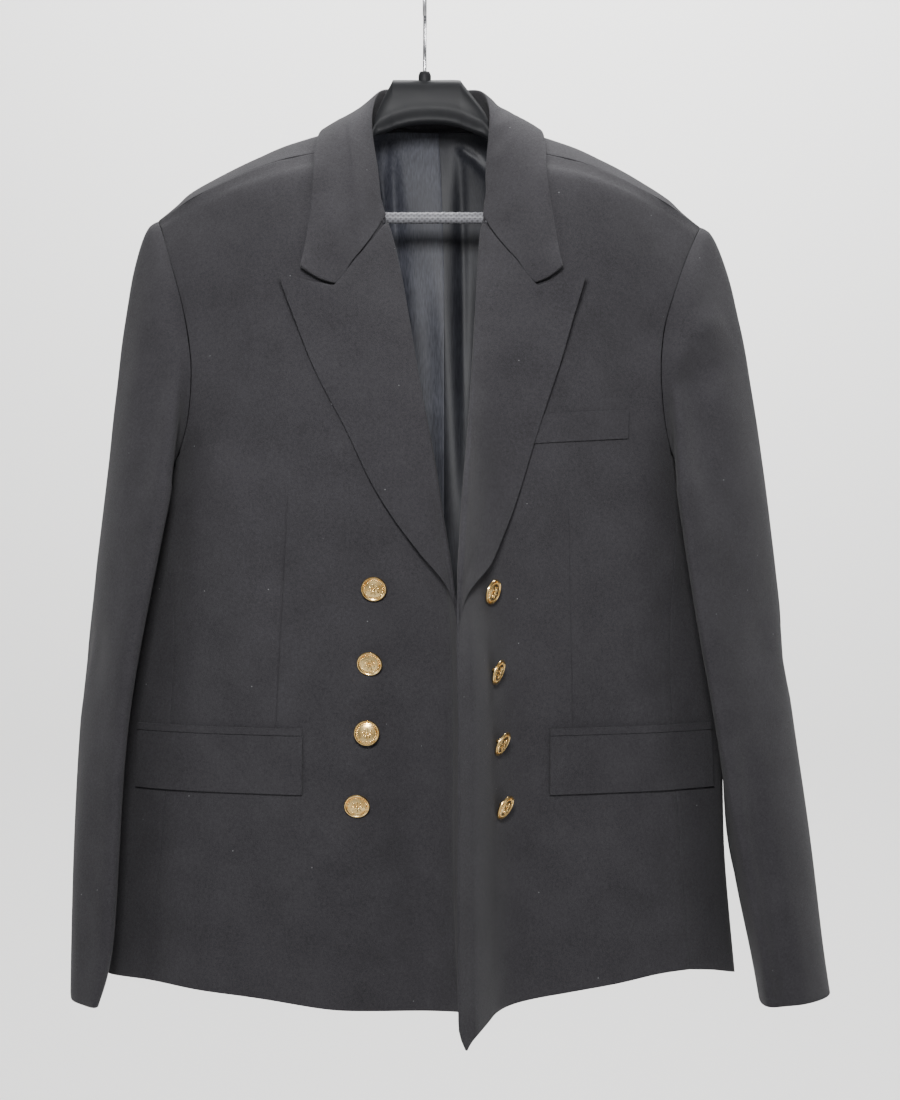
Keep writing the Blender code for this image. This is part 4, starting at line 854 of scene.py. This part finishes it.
BUTTON_TURN = math.radians(11)
GILT_DARK = (0.80, 0.48, 0.15)
GILT_LIGHT = (1.00, 0.73, 0.33)
TARNISH_SCALE = 260
TARNISH_DEPTH = 0.00006


def bead_at(place, scale, turn):
    """One bead of the stamped relief."""
    bpy.ops.mesh.primitive_ico_sphere_add(subdivisions=2, radius=1, location=place,
                                          rotation=(0, 0, turn), scale=scale)
    return bpy.context.object


def stamped_button():
    """A button at the origin, facing up: its outline spun round, with its relief joined on."""
    outline = bpy.data.meshes.new("stamped_button")
    outline.from_pydata([(r, 0, h) for r, h in BUTTON_PROFILE],
                        [(k, k + 1) for k in range(len(BUTTON_PROFILE) - 1)], [])
    button = bpy.data.objects.new("stamped_button", outline)
    bpy.context.scene.collection.objects.link(button)
    pick_only(button)
    bpy.ops.object.mode_set(mode="EDIT")
    bpy.ops.mesh.select_all(action="SELECT")
    bpy.ops.mesh.spin(steps=BUTTON_STEPS, angle=2 * math.pi, center=(0, 0, 0), axis=(0, 0, 1))
    bpy.ops.mesh.select_all(action="SELECT")
    bpy.ops.mesh.remove_doubles(threshold=BUTTON_MERGE)
    bpy.ops.mesh.normals_make_consistent(inside=False)
    bpy.ops.object.mode_set(mode="OBJECT")
    relief = []
    for strand in range(ROPE_STRANDS):
        turn = 2 * math.pi * strand / ROPE_STRANDS
        place = (ROPE_RADIUS * math.cos(turn), ROPE_RADIUS * math.sin(turn), ROPE_HEIGHT)
        relief.append(bead_at(place, ROPE_SIZE, turn + ROPE_SLANT))
    for petal in range(ROSETTE_PETALS):
        turn = 2 * math.pi * petal / ROSETTE_PETALS
        place = (PETAL_REACH * math.cos(turn), PETAL_REACH * math.sin(turn), PETAL_HEIGHT)
        relief.append(bead_at(place, PETAL_SIZE, turn))
    relief.append(bead_at((0, 0, BOSS_HEIGHT), BOSS_SIZE, 0))
    bpy.ops.object.select_all(action="DESELECT")
    for bead in relief:
        bead.select_set(True)
    button.select_set(True)
    bpy.context.view_layer.objects.active = button
    bpy.ops.object.join()
    bpy.ops.object.shade_smooth_by_angle(angle=BUTTON_CREASE)
    return button


def gilt(name):
    """Polished gilt, darker and duller where the stamping keeps the polish out."""
    metal = bpy.data.materials.new(name)
    metal.use_nodes = True
    new, link = metal.node_tree.nodes.new, metal.node_tree.links.new
    shader = metal.node_tree.nodes["Principled BSDF"]
    place = new("ShaderNodeTexCoord")
    tarnish = new("ShaderNodeTexNoise")
    tarnish.inputs["Scale"].default_value = TARNISH_SCALE
    tarnish.inputs["Detail"].default_value = 4
    link(place.outputs["Object"], tarnish.inputs["Vector"])
    tone = new("ShaderNodeValToRGB")
    tone.color_ramp.elements[0].position = 0.30
    tone.color_ramp.elements[0].color = (*GILT_DARK, 1)
    tone.color_ramp.elements[1].position = 0.55
    tone.color_ramp.elements[1].color = (*GILT_LIGHT, 1)
    link(tarnish.outputs["Fac"], tone.inputs["Fac"])
    link(tone.outputs["Color"], shader.inputs["Base Color"])
    polish = new("ShaderNodeMapRange")
    polish.inputs["To Min"].default_value = 0.30
    polish.inputs["To Max"].default_value = 0.16
    link(tarnish.outputs["Fac"], polish.inputs["Value"])
    link(polish.outputs["Result"], shader.inputs["Roughness"])
    bump = new("ShaderNodeBump")
    bump.inputs["Distance"].default_value = TARNISH_DEPTH
    link(tarnish.outputs["Fac"], bump.inputs["Height"])
    link(bump.outputs["Normal"], shader.inputs["Normal"])
    shader.inputs["Metallic"].default_value = 1
    return metal


def seat_of(node_name):
    """Where a button's shank meets the cloth, and the way the button faces."""
    points = points_of(nodes[node_name])
    middle = points.mean(axis=0)
    axis = np.linalg.svd(points - middle)[2][2]
    axis = axis if axis[1] < 0 else -axis
    rise = (points - middle) @ axis
    return Vector(middle + axis * rise.min()), Vector(axis)


first_button = stamped_button()
for half in ("right", "left"):
    for place in range(1, 5):
        name = f"button_{half}_{place}"
        seat, facing = seat_of(name)
        button = bpy.data.objects.new(f"gilt_{name}", first_button.data.copy())
        bpy.context.scene.collection.objects.link(button)
        shift = Vector(moved_by(np.array([seat[:]]), body_folds)[0])
        turned = facing.to_track_quat("Z", "Y").to_matrix().to_4x4()
        spin = Matrix.Rotation(BUTTON_TURN * place, 4, "Z")
        button.data.transform(Matrix.Translation(seat + shift) @ turned @ spin)
        button.data.materials.append(gilt(f"gilt {half} {place}"))
        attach(button, "root")
        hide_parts(name)
bpy.data.objects.remove(first_button)

# Hanger: dark grey moulded plastic with a soft gloss, wide in the shoulders and flat at its
# middle, where the hook's stem goes in through a short boss.
HANGER_LEVELS = 3

# Relief of the hanger's middle: height above its lower edge, half width and rise
HUB_RELIEF = ((0.0020, 0.0016, 0.0008), (0.0060, 0.0024, -0.0005), (0.0125, 0.0034, 0.0006))

# The hanger's middle: half width, how it fades out, lowest height, and how near its edge is
HUB_HALF = 0.052
HUB_FADE = 0.006
HUB_BOTTOM = -0.145
HUB_BESIDE = 0.002

PLASTIC_DARK = (0.010, 0.0104, 0.0115)
PLASTIC_LIGHT = (0.022, 0.0226, 0.0250)
PLASTIC_SPECULAR = 0.24
SCUFF_SCALE = 60
SCUFF_DEPTH = 0.00015


def moulded_plastic(name):
    """Dark plastic with a soft gloss, a little scuffed."""
    plastic = bpy.data.materials.new(name)
    plastic.use_nodes = True
    new, link = plastic.node_tree.nodes.new, plastic.node_tree.links.new
    shader = plastic.node_tree.nodes["Principled BSDF"]
    place = new("ShaderNodeTexCoord")
    scuff = new("ShaderNodeTexNoise")
    scuff.inputs["Scale"].default_value = SCUFF_SCALE
    scuff.inputs["Detail"].default_value = 6
    link(place.outputs["Object"], scuff.inputs["Vector"])
    tone = new("ShaderNodeValToRGB")
    tone.color_ramp.elements[0].color = (*PLASTIC_DARK, 1)
    tone.color_ramp.elements[1].color = (*PLASTIC_LIGHT, 1)
    link(scuff.outputs["Fac"], tone.inputs["Fac"])
    link(tone.outputs["Color"], shader.inputs["Base Color"])
    gloss = new("ShaderNodeMapRange")
    gloss.inputs["To Min"].default_value = 0.44
    gloss.inputs["To Max"].default_value = 0.62
    link(scuff.outputs["Fac"], gloss.inputs["Value"])
    link(gloss.outputs["Result"], shader.inputs["Roughness"])
    bump = new("ShaderNodeBump")
    bump.inputs["Distance"].default_value = SCUFF_DEPTH
    link(scuff.outputs["Fac"], bump.inputs["Height"])
    link(bump.outputs["Normal"], shader.inputs["Normal"])
    shader.inputs["Specular IOR Level"].default_value = PLASTIC_SPECULAR
    return plastic


hanger = cut_from("hanger", "moulded_hanger", HANGER_LEVELS, passes=1)
hub_points = points_of(hanger)
in_hub = (np.abs(hub_points[:, 0] - HANG_SHIFT) < HUB_HALF) & (hub_points[:, 1] < 0)
in_hub &= hub_points[:, 2] > HUB_BOTTOM
for place in np.flatnonzero(in_hub):
    beside = hub_points[np.abs(hub_points[:, 0] - hub_points[place, 0]) < HUB_BESIDE]
    above = hub_points[place, 2] - beside[:, 2].min()
    fade = min(1, (HUB_HALF - abs(hub_points[place, 0] - HANG_SHIFT)) / HUB_FADE)
    for height, half_width, rise in HUB_RELIEF:
        hub_points[place, 1] -= fade * rise * math.exp(-(((above - height) / half_width) ** 2))
put_points(hanger, hub_points)
hanger.data.materials.clear()
hanger.data.materials.append(moulded_plastic("moulded plastic"))
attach(hanger, "root")
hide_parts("hanger")

# Trouser bar: a round rod in a grey sleeve, embossed all over with small lozenges so that
# trousers do not slip, and pressed in between the hanger's two posts.
BAR_SIDES = 36
BAR_RINGS = 260
LOZENGE_PITCH = 0.0046
LOZENGE_ROUND = 9
LOZENGE_HEIGHT = 0.00070
LOZENGE_BANDS = 0.628
LOZENGE_SLANT = 1.15
BAR_END = 0.003
BAR_LONG_EDGE = 0.01
BAR_CREASE = math.radians(50)
BAR_LIGHT = (0.24, 0.24, 0.26)
BAR_DARK = (0.115, 0.115, 0.125)
DUST_SCALE = 300

bar_low, bar_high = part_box("trouser_bar")
bar_middle = (bar_low + bar_high) / 2
bar_radius = (bar_high.z - bar_low.z) / 2 - LOZENGE_HEIGHT / 2
bpy.ops.object.select_all(action="DESELECT")
bpy.ops.mesh.primitive_cylinder_add(vertices=BAR_SIDES, radius=bar_radius,
                                    depth=bar_high.x - bar_low.x, location=(0, 0, 0),
                                    end_fill_type="NGON")
bar = bpy.context.object
bar.name = "ribbed_trouser_bar"
bpy.ops.object.mode_set(mode="EDIT")
bpy.ops.mesh.select_all(action="DESELECT")
bpy.ops.mesh.select_mode(type="EDGE")
rod = bmesh.from_edit_mesh(bar.data)
for edge in rod.edges:
    edge.select = abs(edge.verts[0].co.z - edge.verts[1].co.z) > BAR_LONG_EDGE
bmesh.update_edit_mesh(bar.data)
bpy.ops.mesh.subdivide_edgering(number_cuts=BAR_RINGS, smoothness=0)
bpy.ops.object.mode_set(mode="OBJECT")
rod_points = points_of(bar)
around = np.arctan2(rod_points[:, 1], rod_points[:, 0]) * LOZENGE_ROUND
along = rod_points[:, 2] / LOZENGE_PITCH * 2 * math.pi
ends = np.clip((np.abs(rod_points[:, 2]).max() - np.abs(rod_points[:, 2])) / BAR_END, 0, 1)
raised = np.clip(np.cos(around) * np.cos(along), 0, 1) * LOZENGE_HEIGHT * ends
radius = np.maximum(np.hypot(rod_points[:, 0], rod_points[:, 1]), 1e-9)
rod_points[:, :2] *= (1 + raised / radius)[:, None]
rod_points = np.stack([rod_points[:, 2], rod_points[:, 1], -rod_points[:, 0]], axis=1)
rod_points = rod_points + np.array(bar_middle)
put_points(bar, rod_points)
pick_only(bar)
bpy.ops.object.shade_smooth_by_angle(angle=BAR_CREASE)


def soft_grey(name):
    """Soft grey sleeve, its lozenges darker than the ground, and a little dusty."""
    rubber = bpy.data.materials.new(name)
    rubber.use_nodes = True
    new, link = rubber.node_tree.nodes.new, rubber.node_tree.links.new
    shader = rubber.node_tree.nodes["Principled BSDF"]
    place = new("ShaderNodeTexCoord")
    dust = new("ShaderNodeTexNoise")
    dust.inputs["Scale"].default_value = DUST_SCALE
    dust.inputs["Detail"].default_value = 4
    link(place.outputs["Object"], dust.inputs["Vector"])
    bands = []
    for turned in (1, -1):
        slant = new("ShaderNodeMapping")
        slant.inputs["Scale"].default_value = (1, 0, LOZENGE_SLANT * turned)
        link(place.outputs["Object"], slant.inputs["Vector"])
        band = new("ShaderNodeTexWave")
        band.bands_direction = "DIAGONAL"
        band.inputs["Scale"].default_value = LOZENGE_BANDS / LOZENGE_PITCH
        link(slant.outputs["Vector"], band.inputs["Vector"])
        bands.append(band)
    lozenge = new("ShaderNodeMath")
    lozenge.operation = "MULTIPLY"
    link(bands[0].outputs["Fac"], lozenge.inputs[0])
    link(bands[1].outputs["Fac"], lozenge.inputs[1])
    worn = new("ShaderNodeMath")
    worn.operation = "MULTIPLY_ADD"
    worn.inputs[1].default_value = 0.35
    link(dust.outputs["Fac"], worn.inputs[0])
    link(lozenge.outputs["Value"], worn.inputs[2])
    tone = new("ShaderNodeValToRGB")
    tone.color_ramp.elements[0].position = 0.12
    tone.color_ramp.elements[0].color = (*BAR_LIGHT, 1)
    tone.color_ramp.elements[1].position = 0.75
    tone.color_ramp.elements[1].color = (*BAR_DARK, 1)
    link(worn.outputs["Value"], tone.inputs["Fac"])
    link(tone.outputs["Color"], shader.inputs["Base Color"])
    wear = new("ShaderNodeMapRange")
    wear.inputs["To Min"].default_value = 0.40
    wear.inputs["To Max"].default_value = 0.60
    link(dust.outputs["Fac"], wear.inputs["Value"])
    link(wear.outputs["Result"], shader.inputs["Roughness"])
    return rubber


bar.data.materials.append(soft_grey("soft grey"))
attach(bar, "root")
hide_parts("trouser_bar")

# Hook: bright drawn wire, straight up out of the boss and bent round to sit over a rail.
HOOK_LEVELS = 2
STEEL_DARK = (0.50, 0.50, 0.52)
STEEL_LIGHT = (0.72, 0.72, 0.73)
DRAWN_SCALE = 700


def bright_wire(name):
    """Bright steel, duller in the fine marks of drawing."""
    steel = bpy.data.materials.new(name)
    steel.use_nodes = True
    new, link = steel.node_tree.nodes.new, steel.node_tree.links.new
    shader = steel.node_tree.nodes["Principled BSDF"]
    place = new("ShaderNodeTexCoord")
    drawn = new("ShaderNodeTexNoise")
    drawn.inputs["Scale"].default_value = DRAWN_SCALE
    link(place.outputs["Object"], drawn.inputs["Vector"])
    tone = new("ShaderNodeValToRGB")
    tone.color_ramp.elements[0].color = (*STEEL_DARK, 1)
    tone.color_ramp.elements[1].color = (*STEEL_LIGHT, 1)
    link(drawn.outputs["Fac"], tone.inputs["Fac"])
    link(tone.outputs["Color"], shader.inputs["Base Color"])
    polish = new("ShaderNodeMapRange")
    polish.inputs["To Min"].default_value = 0.16
    polish.inputs["To Max"].default_value = 0.34
    link(drawn.outputs["Fac"], polish.inputs["Value"])
    link(polish.outputs["Result"], shader.inputs["Roughness"])
    shader.inputs["Metallic"].default_value = 1
    return steel


hook = cut_from("hook", "wire_hook", HOOK_LEVELS)
hook.data.materials.clear()
hook.data.materials.append(bright_wire("bright wire"))
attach(hook, "root")
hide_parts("hook")

bpy.context.view_layer.update()
